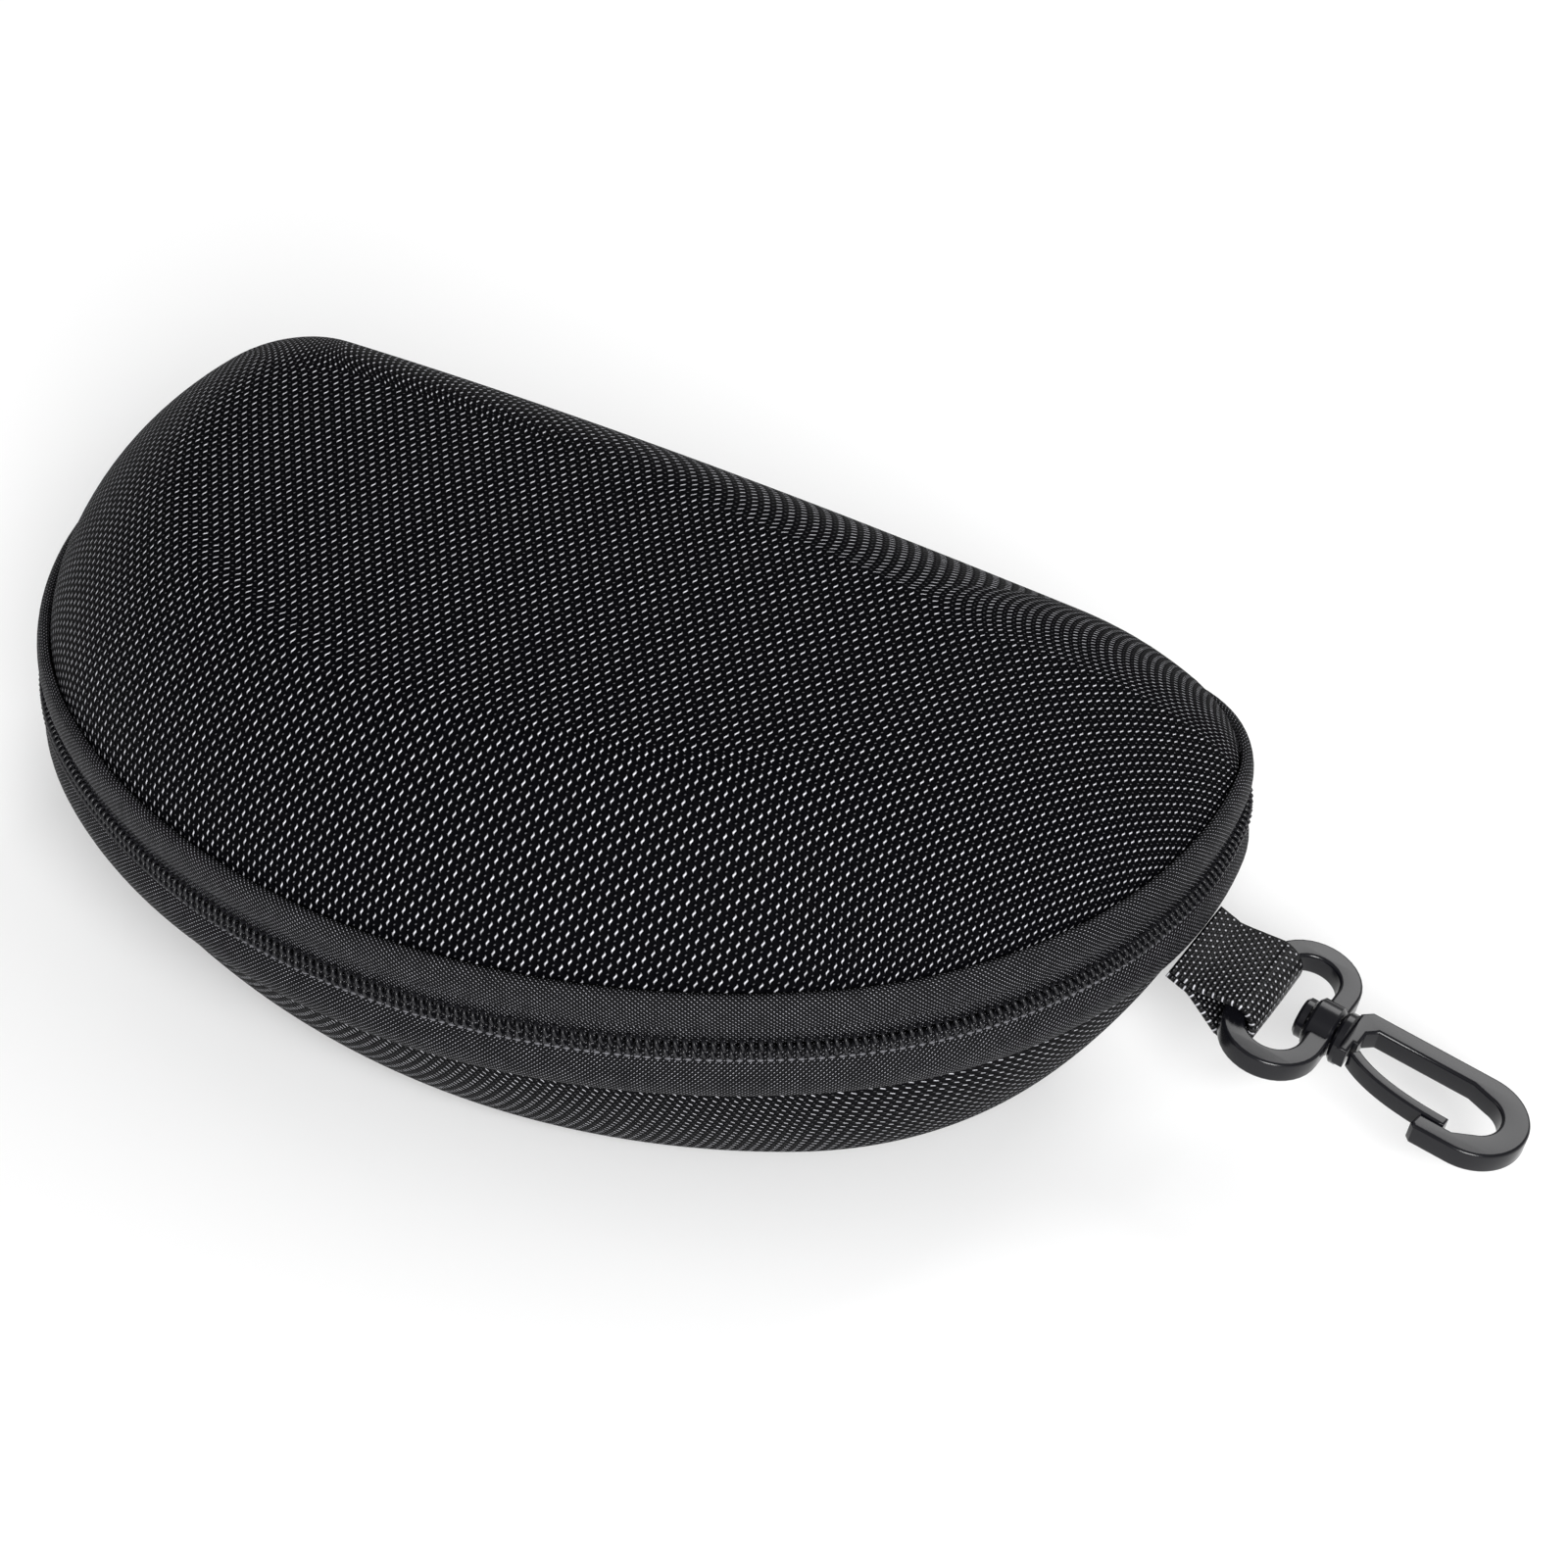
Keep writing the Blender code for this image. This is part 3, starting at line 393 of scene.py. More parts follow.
# millimetres: how far each crown's edge lies inside the rim at its ends, front and back, and how
# far forward its widest line is moved
CROWN_SLOPES = {UPPER: (29.8, 17.1, 30.3, 17.7), LOWER: (17.2, 20.8, 30.7, 0.0)}


def crown_sizes(s, side):
    """The crown's D, in the order of rim_sizes."""
    ends, front, back, shift = (size * MM for size in CROWN_SLOPES[side])
    depth = s.front - front - shift
    return (s.half_width - ends, depth, s.back - back + shift, depth - s.sharpness,
            CROWN_CORNER * MM, shift)


def crown_height(s, side, x, y):
    """Height of a shell's crown over the rim; the lid stands a little higher on its left."""
    if side == LOWER:
        return s.lower_depth
    half, front, back, _, _, shift = crown_sizes(s, UPPER)
    arch = s.arch * (1 - (x / half) ** 2) - s.lean * x / half
    return s.upper_height + arch + s.back_rise * (y + shift + front) / (front + back)


def shell_rows(s, side):
    """Rings of points from the cut edge to the crown's middle, each (x, y, height)."""
    band, crown = rim_sizes(s, s.inset), crown_sizes(s, side)
    rows = [[(x, y, s.edge) for x, y in
             mirrored(half_outline(rim_sizes(s, s.inset + 0.2 * MM), ARC_STEPS))[:-1]]]
    for k in range(WALL_STEPS + 1):
        turn = pi / 2 * k / WALL_STEPS
        share = 1 - cos(turn) ** (2 / ROUNDNESS[side]) if k < WALL_STEPS else 1.0
        rise = sin(turn) ** (2 / ROUNDNESS[side])
        sizes = tuple(a + (b - a) * share for a, b in zip(band, crown))
        rows.append([(x, y, s.band + (crown_height(s, side, x, y) - s.band) * rise)
                     for x, y in mirrored(half_outline(sizes, ARC_STEPS))[:-1]])
    middle = (crown[2] - crown[1]) / 2 - crown[5]
    bulge = s.bulge if side == UPPER else 0.0
    for k in range(1, CROWN_STEPS + 1):
        share = 1 - k / CROWN_STEPS
        rows.append([(x * share, middle + (y - middle) * share,
                      crown_height(s, side, x * share, middle + (y - middle) * share)
                      + bulge * (1 - share**2))
                     for x, y in mirrored(half_outline(crown, ARC_STEPS))[:-1]])
    rows = [[Vector((x, s.widest_y + y, RIM_Z + side * z)) for x, y, z in row] for row in rows]
    return softened(rows)


def softened(rows, rounds=9, first=8):
    """The rows with the fold between wall and crown pressed round, as foam comes out."""
    for _ in range(rounds):
        inner = [[(a + b * 2 + c) / 4 for a, b, c in zip(rows[i - 1], rows[i], rows[i + 1])]
                 for i in range(first, len(rows) - 2)]
        rows = rows[:first] + inner + rows[-2:]
    return rows


def cloth_map(rows):
    """The flat place of each point of a shell: the wall is folded out square to the crown."""
    edge = len(rows) - CROWN_STEPS - 1
    count = len(rows[0])
    flat = []
    for k in range(count):
        before, after = rows[edge][k - 1], rows[edge][(k + 1) % count]
        along = Vector((after.x - before.x, after.y - before.y)).normalized()
        out = Vector((-along.y, along.x))
        column = [Vector((row[k].x, row[k].y)) for row in rows[edge:]]
        run, wall = 0.0, []
        for i in range(edge, 0, -1):
            run += (rows[i][k] - rows[i - 1][k]).length
            wall.append(column[0] + out * run)
        flat.append(wall[::-1] + column)
    return lambda i, k: flat[k % count][i]


def shell(name, s, side, depth, thickness):
    """One ply of a shell, at a depth under the outer surface, given its thickness inward."""
    rows = shell_rows(s, side)
    made = lofted(name, rows, cloth_map(rows), around=True)
    mesh = bmesh.new()
    mesh.from_mesh(made.data)
    top = max(mesh.faces, key=lambda f: side * f.calc_center_median().z)
    if top.normal.z * side < 0:
        bmesh.ops.reverse_faces(mesh, faces=mesh.faces)
    mesh.normal_update()
    edge = {v for v in mesh.verts if v.is_boundary}
    moved = {v: v.co - v.normal * depth * v.calc_shell_factor() for v in mesh.verts}
    for vert, place in moved.items():
        vert.co = place
        if vert in edge:
            vert.co.z = RIM_Z + side * s.edge
    mesh.to_mesh(made.data)
    mesh.free()
    wall = made.modifiers.new("thickness", "SOLIDIFY")
    wall.thickness = thickness
    wall.offset = -1.0
    return baked(made)


# --- Strips and rows along the rim -------------------------------------------------------


def rim_path(s, inset, height, side, steps=16, start_x=0.0, start_angle=None, closed=False):
    """A line that follows the rim, at an inset and at a height over or under it."""
    half = half_outline(rim_sizes(s, inset), steps, start_x, start_angle)
    points = mirrored(half)[:-1] if closed else mirrored(half)
    return [Vector((x, s.widest_y + y, RIM_Z + side * height)) for x, y in points]


def strip(name, s, section, side, start_x=0.0, closed=False):
    """A band with a closed section of (inset, height) points, led along the rim."""
    lines = [rim_path(s, inset, height, side, start_x=start_x, closed=closed)
             for inset, height in section]
    run, along = 0.0, [0.0]
    for a, b in zip(lines[0], lines[0][1:]):
        run += (b - a).length
        along.append(run)
    along.append(run + (lines[0][0] - lines[0][-1]).length)
    across = [0.0]
    ring = section + section[:1]
    for a, b in zip(ring, ring[1:]):
        across.append(across[-1] + sqrt((b[0] - a[0]) ** 2 + (b[1] - a[1]) ** 2))
    rows = [[line[k] for line in lines] for k in range(len(lines[0]))]
    if closed:
        rows.append(rows[0])
    return lofted(name, rows, lambda i, k: (along[i], across[k]), around=True, caps=not closed)


COIL_TILT = 0.32  # how far the coil's loops lie over along the zip, radians


def row_tree(kind):
    """A node tree that sets coil loops or stitches along the piece's line, evenly spaced."""
    tree = bpy.data.node_groups.new("row_of_" + kind, "GeometryNodeTree")
    face = tree.interface
    face.new_socket("Geometry", in_out="INPUT", socket_type="NodeSocketGeometry")
    for label in ("Spacing", "Length", "Width", "Depth", "Thread"):
        face.new_socket(label, in_out="INPUT", socket_type="NodeSocketFloat")
    face.new_socket("Material", in_out="INPUT", socket_type="NodeSocketMaterial")
    face.new_socket("Geometry", in_out="OUTPUT", socket_type="NodeSocketGeometry")
    given = add_node(tree, "NodeGroupInput")
    line = add_node(tree, "GeometryNodeMeshToCurve", {"Mesh": given["Geometry"]})[0]
    spots = add_node(tree, "GeometryNodeCurveToPoints", {
        "Curve": line, "Length": given["Spacing"]}, mode="LENGTH")
    along = add_node(tree, "FunctionNodeAlignRotationToVector", {"Vector": spots["Tangent"]},
                     axis="Z")[0]
    upright = add_node(tree, "FunctionNodeAlignRotationToVector", {
        "Rotation": along, "Vector": (0.0, 0.0, 1.0)}, axis="Y", pivot_axis="Z")[0]
    size = add_node(tree, "ShaderNodeCombineXYZ", {
        "X": given["Depth"], "Y": given["Width"], "Z": given["Length"]})[0]
    if kind == "loops":
        ring = add_node(tree, "GeometryNodeCurvePrimitiveCircle", {"Resolution": 10,
                                                                   "Radius": 1.0})[0]
        oval = add_node(tree, "GeometryNodeTransform", {"Geometry": ring, "Scale": size})[0]
        tilt = add_node(tree, "GeometryNodeTransform", {
            "Geometry": oval, "Rotation": (COIL_TILT, 0.0, 0.0)})[0]
        wire = add_node(tree, "GeometryNodeCurvePrimitiveCircle", {
            "Resolution": 5, "Radius": given["Thread"]})[0]
        item = add_node(tree, "GeometryNodeCurveToMesh", {"Curve": tilt, "Profile Curve": wire})[0]
    else:
        ball = add_node(tree, "GeometryNodeMeshUVSphere", {"Segments": 6, "Rings": 5,
                                                           "Radius": 1.0})[0]
        item = add_node(tree, "GeometryNodeTransform", {"Geometry": ball, "Scale": size})[0]
    placed = add_node(tree, "GeometryNodeInstanceOnPoints", {
        "Points": spots["Points"], "Instance": item, "Rotation": upright})[0]
    real = add_node(tree, "GeometryNodeRealizeInstances", {"Geometry": placed})[0]
    smooth = add_node(tree, "GeometryNodeSetShadeSmooth", {"Geometry": real})[0]
    dressed = add_node(tree, "GeometryNodeSetMaterial", {
        "Geometry": smooth, "Material": given["Material"]})[0]
    add_node(tree, "NodeGroupOutput", {"Geometry": dressed})
    return tree


def row_along(name, kind, points, material, **sizes):
    """Loops or stitches along a line of points, as one plain mesh."""
    data = bpy.data.meshes.new(name)
    data.from_pydata(points, [(k, k + 1) for k in range(len(points) - 1)], [])
    made = bpy.data.objects.new(name, data)
    bpy.context.scene.collection.objects.link(made)
    tree = bpy.data.node_groups.get("row_of_" + kind) or row_tree(kind)
    setter = made.modifiers.new("row", "NODES")
    setter.node_group = tree
    for item in tree.interface.items_tree:
        if item.in_out == "INPUT" and item.name in sizes:
            setter[item.identifier] = sizes[item.name]
        elif item.in_out == "INPUT" and item.name == "Material":
            setter[item.identifier] = material
    return baked(made)


# --- Flat moulded pieces -----------------------------------------------------------------


def rounded_box(x_low, x_high, y_low, y_high, radius, steps=10):
    """The outline of a box with round corners, kept just short of half its sides."""
    radius = min(radius, (x_high - x_low) / 2.001, (y_high - y_low) / 2.001)
    corners = ((x_high - radius, y_high - radius, 0), (x_low + radius, y_high - radius, 1),
               (x_low + radius, y_low + radius, 2), (x_high - radius, y_low + radius, 3))
    return [(x + radius * cos(pi / 2 * (quarter + k / steps)),
             y + radius * sin(pi / 2 * (quarter + k / steps)))
            for x, y, quarter in corners for k in range(steps + 1)]


def plate(name, loops, thickness, edge, place):
    """A plate with rounded edges, its outline the first loop and its holes the others."""
    curve = bpy.data.curves.new(name, "CURVE")
    curve.dimensions = "2D"
    curve.fill_mode = "BOTH"
    curve.extrude = thickness / 2 - edge
    curve.bevel_depth = edge
    curve.bevel_resolution = 4
    curve.offset = -edge
    for loop in loops:
        spline = curve.splines.new("POLY")
        spline.points.add(len(loop) - 1)
        spline.use_cyclic_u = True
        for spot, (x, y) in zip(spline.points, loop):
            spot.co = (x, y, 0.0, 1.0)
    source = bpy.data.objects.new(name + "_outline", curve)
    bpy.context.scene.collection.objects.link(source)
    bpy.context.view_layer.update()
    evaluated = source.evaluated_get(bpy.context.evaluated_depsgraph_get())
    data = bpy.data.meshes.new_from_object(evaluated)
    bpy.data.objects.remove(source, do_unlink=True)
    mesh = bmesh.new()
    mesh.from_mesh(data)
    bmesh.ops.remove_doubles(mesh, verts=mesh.verts, dist=MERGE)
    bmesh.ops.recalc_face_normals(mesh, faces=mesh.faces)
    mesh.transform(place)
    made = finished(name, mesh)
    made.data.set_sharp_from_angle(angle=SHARP)
    return made


def turned(name, place, profile, steps=48):
    """A solid turned about the swivel axis from a profile of (along, radius) points."""
    mesh = bmesh.new()
    rings = []
    for along, radius in profile:
        turns = steps if radius > 0 else 1
        rings.append([mesh.verts.new(place @ Vector((
            along, radius * cos(2 * pi * k / turns), radius * sin(2 * pi * k / turns))))
            for k in range(turns)])
    for a, b in zip(rings, rings[1:]):
        for k in range(steps):
            n = (k + 1) % steps
            corners = dict.fromkeys((a[k % len(a)], a[n % len(a)], b[n % len(b)], b[k % len(b)]))
            if len(corners) > 2:
                mesh.faces.new(list(corners))
    bmesh.ops.recalc_face_normals(mesh, faces=mesh.faces)
    return finished(name, mesh)


def joined(base, others):
    """One mesh made from base by adding or cutting the others, each with its operation."""
    for other, operation in others:
        cut = base.modifiers.new(other.name, "BOOLEAN")
        cut.operation = operation
        cut.object = other
    baked(base)
    for other, _ in others:
        bpy.data.objects.remove(other, do_unlink=True)
    base.data.shade_smooth()
    base.data.set_sharp_from_angle(angle=SHARP)
    return base


def joint_place(name):
    """Where a joint's axis is, at rest."""
    return Vector(next(j["pos_m"] for j in frame["joints"] if j["name"] == name))


# --- Operators ---------------------------------------------------------------------------


CAMERA_AZIMUTH, CAMERA_ELEVATION = radians(30.0), radians(37.7)
CAMERA_TARGET = Vector((0.01935, 0.02753, 0.02353))
CAMERA_DISTANCE, CAMERA_LENS = 0.6, 107.26
FLOOR_SIZE = 12.0
# name, place, size in metres and power in watts
LAMPS = (("key", (0.75, -0.9, 0.75), 0.6, 25.0), ("fill", (-0.9, -0.6, 0.7), 0.8, 2.0),
         ("rim", (0.2, 0.9, 0.8), 0.6, 5.0))
SKY_STRENGTH = 0.42


class CASE_OT_stage(bpy.types.Operator):
    """Camera, pale floor and soft studio lights"""

    bl_idname = "case.stage"
    bl_label = "Stage"

    def execute(self, context):
        scene = context.scene
        azimuth, elevation = CAMERA_AZIMUTH, CAMERA_ELEVATION
        right = Vector((cos(azimuth), sin(azimuth), 0.0))
        away = Vector((sin(azimuth) * cos(elevation), -cos(azimuth) * cos(elevation),
                       sin(elevation)))
        camera = bpy.data.objects.new("camera", bpy.data.cameras.new("camera"))
        scene.collection.objects.link(camera)
        facing = Matrix((right, away.cross(right), away)).transposed().to_4x4()
        camera.matrix_world = Matrix.Translation(CAMERA_TARGET + away * CAMERA_DISTANCE) @ facing
        camera.data.lens = CAMERA_LENS
        camera.data.clip_start = 0.01
        scene.camera = camera
        bpy.ops.mesh.primitive_plane_add(size=FLOOR_SIZE)
        floor = context.active_object
        floor.name = "floor"
        white = linear(context.scene.case_colours.paper)
        paper, _, _ = new_material("matt_white_paper_sweep", Base_Color=white, Roughness=0.9)
        floor.data.materials.append(paper)
        for name, place, size, power in LAMPS:
            data = bpy.data.lights.new(name, "AREA")
            data.size = size
            data.energy = power
            lamp = bpy.data.objects.new(name, data)
            scene.collection.objects.link(lamp)
            lamp.location = place
            lamp.rotation_euler = (CAMERA_TARGET - Vector(place)).to_track_quat("-Z", "Y").to_euler()
        world = bpy.data.worlds.new("studio")
        scene.world = world
        world.use_nodes = True
        back = world.node_tree.nodes["Background"]
        back.inputs["Color"].default_value = (1.0, 1.0, 1.0, 1.0)
        back.inputs["Strength"].default_value = SKY_STRENGTH
        scene.view_settings.view_transform = "Standard"
        return {"FINISHED"}


class CASE_OT_shells(bpy.types.Operator):
    """Moulded covers, foam, linings and bindings of both shells"""

    bl_idname = "case.shells"
    bl_label = "Shells"

    def execute(self, context):
        s, c = context.scene.case_sizes, context.scene.case_colours
        # ballistic-weave polyester, black: thick yarns whose floats carry painted highlights as
        # bright beads, with the yarn's black and painted shade between
        ballistic = woven("ballistic_weave_moulded", c.weave_low, c.weave_painted_highlight,
                          across=0.8 * MM, along=1.1 * MM, relief=0.32 * MM, roughness=0.6,
                          lean=0.1, gloss=0.015, reach=0.5, narrow=2.2)
        # brushed tricot: soft, no gloss; its loops' tops carry a faint painted highlight
        knit = woven("tricot_lining_brushed", c.knit_low, c.knit_painted_highlight, across=0.5 * MM,
                     along=0.5 * MM, relief=0.06 * MM, roughness=0.95, gloss=0.1)
        # closed-cell foam, pressed hot: matt and finely pitted
        foam = moulded("eva_foam_pressed", c.foam, roughness=0.9, grain=0.4 * MM,
                       relief=0.05 * MM)
        # ribbed polyester binding: matt, flat-faced; its threads' tops carry a painted highlight
        tape = woven("binding_tape_ribbed", c.tape_low, c.tape_painted_highlight, across=0.5 * MM,
                     along=0.7 * MM, relief=0.06 * MM, roughness=0.7)
        for side, prefix in ((UPPER, "upper"), (LOWER, "lower")):
            body = prefix + "_half"
            settle(shell(prefix + "_shell_fabric", s, side, 0.0, s.cover), ballistic,
                   "ballistic", prefix + "_cover", body=body)
            settle(shell(prefix + "_shell_lining", s, side, s.wall - s.cover, s.cover), knit,
                   "knit", prefix + "_lining", body=body)
            paint(frame["nodes"][prefix + "_core"], foam)
            # the binding spans all plies, thinner at its edges, and turns down over the lining
            low, high = s.inset + 0.15 * MM, s.inset + s.wall + 0.3 * MM
            top = s.edge - 0.1 * MM
            section = [(low, top - 0.25 * MM), (low + 0.4 * MM, top - 0.6 * MM),
                       (high - 0.4 * MM, top - 0.6 * MM), (high, top - 0.25 * MM),
                       (high + 0.2 * MM, top + 1.6 * MM), (high - 0.1 * MM, top + 1.6 * MM),
                       (high - 0.3 * MM, top), (low, top)]
            settle(strip(prefix + "_rim_binding", s, section, side, closed=True), tape,
                   "binding", prefix + "_binding", body=body)
        self.hinge(s, ballistic, knit)
        return {"FINISHED"}

    def hinge(self, s, ballistic, knit):
        """The outer and inner strips across the hinge."""
        columns, ups = 40, 24
        column, up_step = 2.7, 0.7  # what one column and one row take of the cloth, millimetres
        thickness, bend = 0.6 * MM, 3.5 * MM
        for name, node, material, slot, swell in (
                ("hinge_strip_fabric", "hinge_strip", ballistic, "ballistic", 0.5 * MM),
                ("hinge_lining_fabric", "hinge_lining", knit, "knit", -0.5 * MM)):
            low, high = (Vector(p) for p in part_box(node))
            rows = []
            for i in range(ups + 1):
                up = i / ups
                bow = swell * sin(pi * up)
                rows.append([Vector((low.x + (high.x - low.x) * k / columns,
                                     (high.y if swell > 0 else low.y) + bow - swell * 0.4,
                                     low.z + (high.z - low.z) * up))
                             for k in range(columns + 1)])
            made = lofted(name, rows, lambda i, k: (k * column * MM, i * up_step * MM))
            wall = made.modifiers.new("thickness", "SOLIDIFY")
            wall.thickness = thickness
            wall.offset = 0.0
            settle(baked(made), material, slot, node)
            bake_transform(made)


COIL_START = radians(58.0)  # where the coil starts, round the rim's back corner


class CASE_OT_zip(bpy.types.Operator):
    """Zip tapes, coil, stitches, slider and pull tab"""

    bl_idname = "case.zip"
    bl_label = "Zip"

    def execute(self, context):
        s, z, c = (context.scene.case_sizes, context.scene.zip_sizes,
                   context.scene.case_colours)
        # zip tape: fine twill, matt, drawn a little coarse; its threads' tops carry a painted
        # highlight
        twill = woven("zip_tape_twill", c.tape_low, c.tape_painted_highlight, across=0.34 * MM,
                      along=0.3 * MM, relief=0.08 * MM, roughness=0.6, gloss=0.08)
        # extruded nylon filament: smooth with a soft gloss
        nylon = moulded("nylon_filament_drawn", c.coil, roughness=0.25, grain=0.3 * MM,
                        relief=0.01 * MM)
        # spun polyester thread
        thread = moulded("polyester_thread_spun", c.thread, roughness=0.55, grain=0.1 * MM,
                         relief=0.02 * MM)
        metal = plated("zinc_nickel_plated", c.metal)
        for side, prefix in ((UPPER, "upper"), (LOWER, "lower")):
            body = prefix + "_half"
            settle(strip(prefix + "_tape_cloth", s, self.tape_section(z, side), side,
                         start_x=z.end), twill, "zip_tape", prefix + "_zip_tape", body=body)
            line = rim_path(s, -0.1 * MM, 0.62 * MM, side, steps=40, start_angle=COIL_START)
            if side == LOWER:
                line[0] = line[0] + (line[1] - line[0]).normalized() * z.pitch / 2
            settle(row_along(prefix + "_coil_loops", "loops", line, nylon, Spacing=z.pitch,
                             Width=0.6 * MM, Depth=0.6 * MM, Length=1.0, Thread=z.wire),
                   nylon, "coil", prefix + "_zip_coil", body=body)
            if side == UPPER:
                continue
            seam = rim_path(s, 0.02 * MM, 1.9 * MM, side, steps=40, start_angle=COIL_START)
            settle(row_along(prefix + "_coil_stitches", "stitches", seam, thread,
                             Spacing=z.stitch, Width=0.2 * MM, Depth=0.22 * MM,
                             Length=0.4 * MM), thread, "zip_tape", body=body)
        for name in ("slider", "pull_tab"):
            paint(frame["nodes"][name], metal)
        return {"FINISHED"}

    def tape_section(self, z, side):
        """Bowed outside, with a hem running in under the coil; the upper tape overhangs it."""
        steps = 14
        setback, fullness = (0.35 * MM, 0.45) if side == UPPER else (0.1 * MM, 0.8)
        seat, start = 0.2 * MM, z.tape_start + setback
        outside = []
        for k in range(steps + 1):
            share = k / steps
            bow = z.bow * sin(pi * share) ** fullness
            outside.append((seat - bow, start + (z.tape_end - start) * share))
        inside = [(seat + z.tape + 0.1 * MM, z.tape_end), (seat + z.tape, start + 1 * MM),
                  (1.0 * MM, start), (0.9 * MM, 0.25 * MM), (0.5 * MM, 0.25 * MM),
                  (0.2 * MM, 0.9 * MM), (0.15 * MM, start - 0.15 * MM)]
        return outside + inside


class CASE_OT_loop(bpy.types.Operator):
    """Webbing loop that holds the swivel ring"""

    bl_idname = "case.loop"
    bl_label = "Webbing loop"

    def execute(self, context):
        # ribbed polypropylene webbing: rows of flattened yarn floats, their gloss partly real and
        # partly a painted highlight in the crown colour
        c = context.scene.case_colours
        ribbed = woven("polypropylene_webbing_ribbed", c.webbing_low, c.webbing_painted_highlight,
                       across=0.65 * MM, along=0.6 * MM, relief=0.25 * MM, roughness=0.4,
                       lean=0.0)
        root, bar = joint_place("loop_flex"), joint_place("ring_swing")
        low, high = (Vector(p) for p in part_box("webbing_loop"))
        run = bar - root
        reach = sqrt(run.x**2 + run.z**2)
        thick = 0.55 * MM  # half the strap's thickness
        radius = (high.x - bar.x) - thick
        along, drop = run.normalized(), Vector((run.z, 0.0, -run.x)).normalized()
        line = []
        lean = asin(radius / reach)
        steps = 26
        start = [(0.0, thick * 1.02), (0.25 * reach, thick * 1.02), (0.4 * reach, thick * 1.3)]
        line += start
        for k in range(steps + 1):
            angle = pi / 2 + lean * 0.9 - (pi + 1.8 * lean) * k / steps
            line.append((reach + radius * cos(angle), radius * sin(angle)))
        line += [(u, -v) for u, v in reversed(start)]
        centre = [root + along * u - drop * v for u, v in self.smooth(line)]
        made = self.strap("webbing_loop_strap", centre, (low.y + high.y) / 2,
                          (high.y - low.y) / 2, thick)
        settle(made, ribbed, "webbing", "webbing_loop", body="loop")
        return {"FINISHED"}

    def smooth(self, points):
        """Points every quarter of a step along a Catmull-Rom curve through the line."""
        padded = [points[0], *points, points[-1]]
        made = []
        for a, b, c, d in zip(padded, padded[1:], padded[2:], padded[3:]):
            for k in range(4):
                t = k / 4
                made.append(tuple(0.5 * (2 * b[i] + (c[i] - a[i]) * t
                                         + (2 * a[i] - 5 * b[i] + 4 * c[i] - d[i]) * t**2
                                         + (3 * b[i] - a[i] - 3 * c[i] + d[i]) * t**3)
                                  for i in range(2)))
        return made + [points[-1]]

    def strap(self, name, centre, middle_y, half, thick):
        """A flat strap along a centre line, with rounded edges."""
        sides, flat = 20, 0.2  # points round the section, and how near its middle they spread
        section = [(half * cos(a) if abs(cos(a)) < flat else
                    (half - thick * (1 - abs(cos(a)))) * (1 if cos(a) > 0 else -1),
                    thick * sin(a)) for a in (2 * pi * (k + 0.5) / sides for k in range(sides))]
        rows, run, spans = [], 0.0, [0.0]
        for i, point in enumerate(centre):
            ahead = (centre[min(i + 1, len(centre) - 1)] - centre[max(i - 1, 0)]).normalized()
            out = Vector((-ahead.z, 0.0, ahead.x))
            rows.append([Vector((point.x, middle_y + y, point.z)) + out * t
                         for y, t in section])
            if i:
                run += (point - centre[i - 1]).length
                spans.append(run)
        return lofted(name, rows, lambda i, k: (spans[i], section[k % sides][0]), around=True,
                      caps=True)


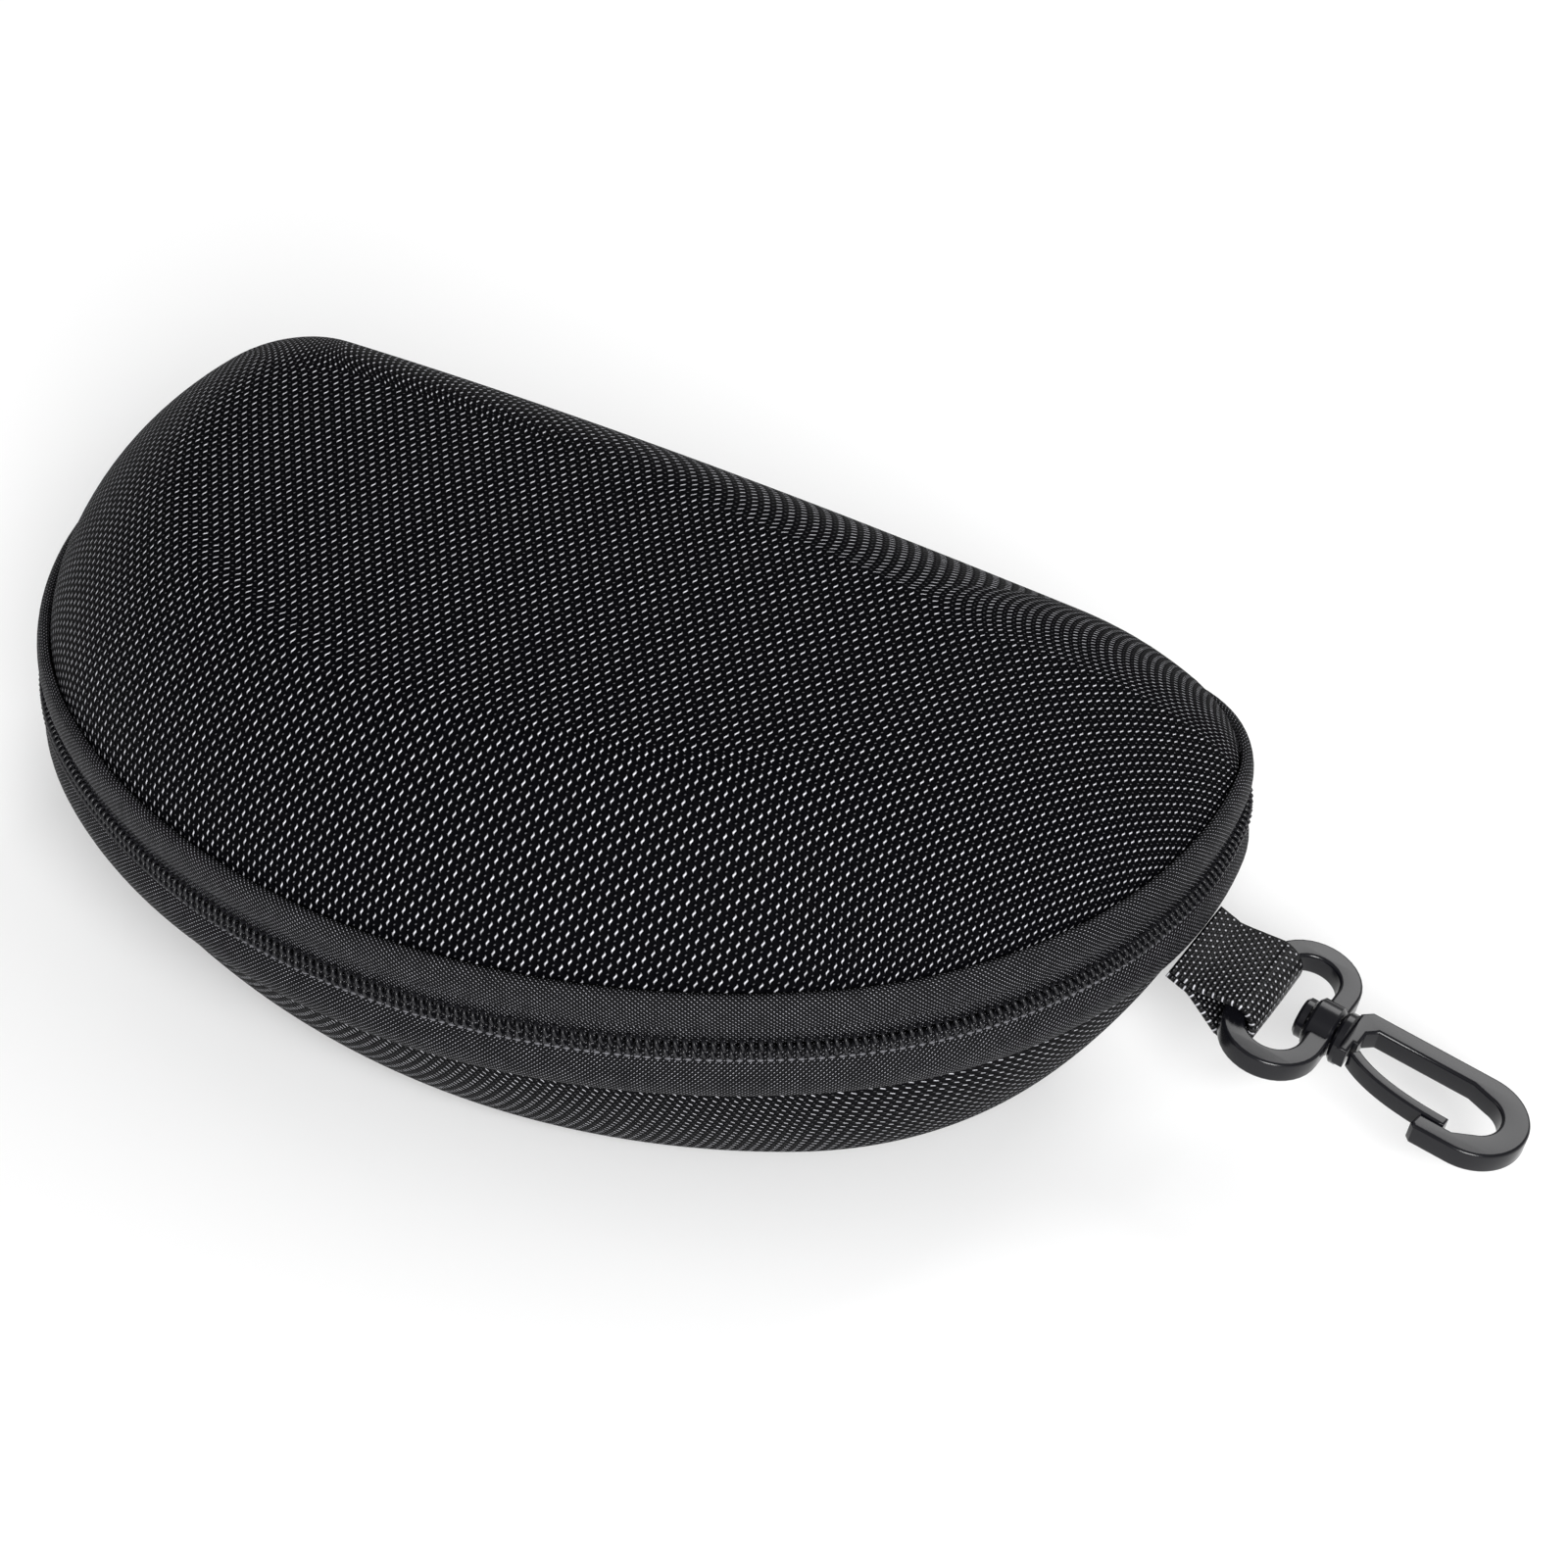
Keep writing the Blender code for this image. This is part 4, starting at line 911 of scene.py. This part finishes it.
class CASE_OT_hook(bpy.types.Operator):
    """Swivel ring, snap hook and spring tongue"""

    bl_idname = "case.hook"
    bl_label = "Snap hook"

    def execute(self, context):
        h, c = context.scene.hook_sizes, context.scene.case_colours
        # moulded acetal: near-black, even, semi-gloss
        acetal = moulded("acetal_moulded_semigloss", c.plastic, roughness=0.2, grain=0.6 * MM,
                         relief=0.02 * MM)
        turn = Matrix.Rotation(radians(h.droop), 4, "Y")
        place = Matrix.Translation(joint_place("hook_swivel")) @ turn
        settle(self.ring(h, place), acetal, "acetal", "swivel_ring", body="ring")
        settle(self.hook(h, place), acetal, "acetal", "snap_hook", body="hook")
        settle(self.tongue(h, place), acetal, "acetal", "hook_gate", body="gate")
        return {"FINISHED"}

    def ring(self, h, place):
        """An oval band with the collar that the hook's stem turns in."""
        half = h.ring_length / 2
        outer = rounded_box(-h.ring_width, 0.0, -half, half, h.ring_width / 2)
        inner = rounded_box(-h.ring_width + h.ring_bar, -h.ring_bar, -half + h.ring_bar,
                            half - h.ring_bar, h.ring_width / 2 - h.ring_bar)
        band = plate("swivel_ring_band", [outer, inner], h.thickness, h.edge, place)
        collar = turned("swivel_ring_collar", place, [
            (-h.collar, 0.0), (-h.collar, h.boss - h.edge), (-h.collar + h.edge, h.boss),
            (-h.gap / 2 - h.edge, h.boss), (-h.gap / 2, h.boss - h.edge), (-h.gap / 2, 0.0)])
        bore = turned("swivel_ring_bore", place, [
            (-h.collar - MM, 0.0), (-h.collar - MM, h.stem + h.gap), (MM, h.stem + h.gap),
            (MM, 0.0)])
        return joined(band, [(collar, "UNION"), (bore, "DIFFERENCE")])

    def hook(self, h, place):
        """The J-shaped band, its flange, and the stem whose head sits behind the collar."""
        body = plate("snap_hook_band", [self.outline(h)[::-1]], h.thickness, h.edge, place)
        head = -h.collar - h.gap - h.head_length
        shaft = turned("snap_hook_shaft", place, [
            (head, 0.0), (head, h.head - h.edge), (head + h.edge, h.head),
            (head + h.head_length, h.head), (head + h.head_length, h.stem), (h.gap / 2, h.stem),
            (h.gap / 2, h.boss - h.edge), (h.gap / 2 + h.edge, h.boss),
            (h.gap / 2 + h.flange, h.boss), (h.gap / 2 + h.flange, 0.0)])
        return joined(body, [(shaft, "UNION")])

    def outline(self, h):
        """Base, long bar, round end and nose, in the hook's own plane."""
        radius = (h.outer - h.inner) / 2
        centre = (h.reach - radius, (h.outer + h.inner) / 2)
        base = h.flange + h.gap / 2 - 0.2 * MM  # runs a little into the flange
        bevel, lip = 1.2 * MM, 0.6 * MM
        inside = radius - h.end_band
        low, high = h.inner + h.nose_band, h.outer - h.bar
        root = self.line(h)[0][1] + h.tongue / 2 + h.gap
        slot = base + 2.0 * MM
        points = [(base, h.outer - bevel), (base + bevel, h.outer)]
        points += [(centre[0] + radius * cos(a), centre[1] + radius * sin(a))
                   for a in (pi / 2 - pi * k / 36 for k in range(37))]
        points += [(h.nose + lip, h.inner), (h.nose, h.inner + lip),
                   (h.nose + 0.3 * MM, low), (centre[0] - 1.0 * MM, low)]
        points += [(centre[0] + inside * cos(a), centre[1] + inside * sin(a) * 1.02)
                   for a in (pi * (-0.36 + 0.8 * k / 21) for k in range(22))]
        points += [(centre[0] - 2.0 * MM, high), (slot + bevel, high), (slot, high - bevel),
                   (slot, root), (slot - lip, root), (slot - lip, -h.boss),
                   (base, -h.boss)]
        return points

    def line(self, h):
        """The tongue's centre line, a cubic from its root to its tip in the nose."""
        tip = (h.tip, h.inner + h.nose_band + h.gap + h.tongue / 2)
        ends = ((h.flange + 2.0 * MM, -2.3 * MM), (6.5 * MM, -4.7 * MM),
                (11.5 * MM, tip[1] + 0.1 * MM), tip)
        steps = 24
        points = []
        for k in range(steps + 1):
            t = k / steps
            weights = ((1 - t) ** 3, 3 * t * (1 - t) ** 2, 3 * t * t * (1 - t), t**3)
            points.append(tuple(sum(w * p[i] for w, p in zip(weights, ends)) for i in range(2)))
        return points

    def tongue(self, h, place):
        """The spring tongue, a strip of even width along its line."""
        line = self.line(h)
        sides = ([], [])
        for k, (x, y) in enumerate(line):
            before, after = line[max(k - 1, 0)], line[min(k + 1, len(line) - 1)]
            run, rise = after[0] - before[0], after[1] - before[1]
            size = sqrt(run * run + rise * rise)
            for side, sign in zip(sides, (1, -1)):
                side.append((x - sign * rise / size * h.tongue / 2,
                             y + sign * run / size * h.tongue / 2))
        play = 0.3 * MM  # the tongue is that much thinner than the hook
        return plate("hook_tongue", [sides[1] + sides[0][::-1]], h.thickness - play,
                     h.edge * 0.8, place)


class CASE_PT_panel(bpy.types.Panel):
    """The case's pieces and sizes"""

    bl_idname = "CASE_PT_panel"
    bl_label = "Eyeglasses case"
    bl_space_type = "VIEW_3D"
    bl_region_type = "UI"
    bl_category = "Case"

    def draw(self, context):
        for operator in PIECES:
            self.layout.operator(operator.bl_idname)
        for group, _ in GROUPS:
            box = self.layout.box()
            owner = getattr(context.scene, group)
            for name in owner.__annotations__:
                box.prop(owner, name)


GROUPS = (("case_sizes", CaseSizes), ("zip_sizes", ZipSizes), ("hook_sizes", HookSizes),
          ("case_colours", CaseColours))
PIECES = (CASE_OT_stage, CASE_OT_shells, CASE_OT_zip, CASE_OT_loop, CASE_OT_hook)


def register():
    for _, group in GROUPS:
        bpy.utils.register_class(group)
    for piece in (*PIECES, CASE_PT_panel):
        bpy.utils.register_class(piece)
    for name, group in GROUPS:
        setattr(bpy.types.Scene, name, PointerProperty(type=group))


def unregister():
    for name, _ in GROUPS:
        delattr(bpy.types.Scene, name)
    for piece in (CASE_PT_panel, *reversed(PIECES)):
        bpy.utils.unregister_class(piece)
    for _, group in reversed(GROUPS):
        bpy.utils.unregister_class(group)


def main():
    register()
    for piece in PIECES:
        group, name = piece.bl_idname.split(".")
        getattr(getattr(bpy.ops, group), name)()


if __name__ == "__main__":
    main()
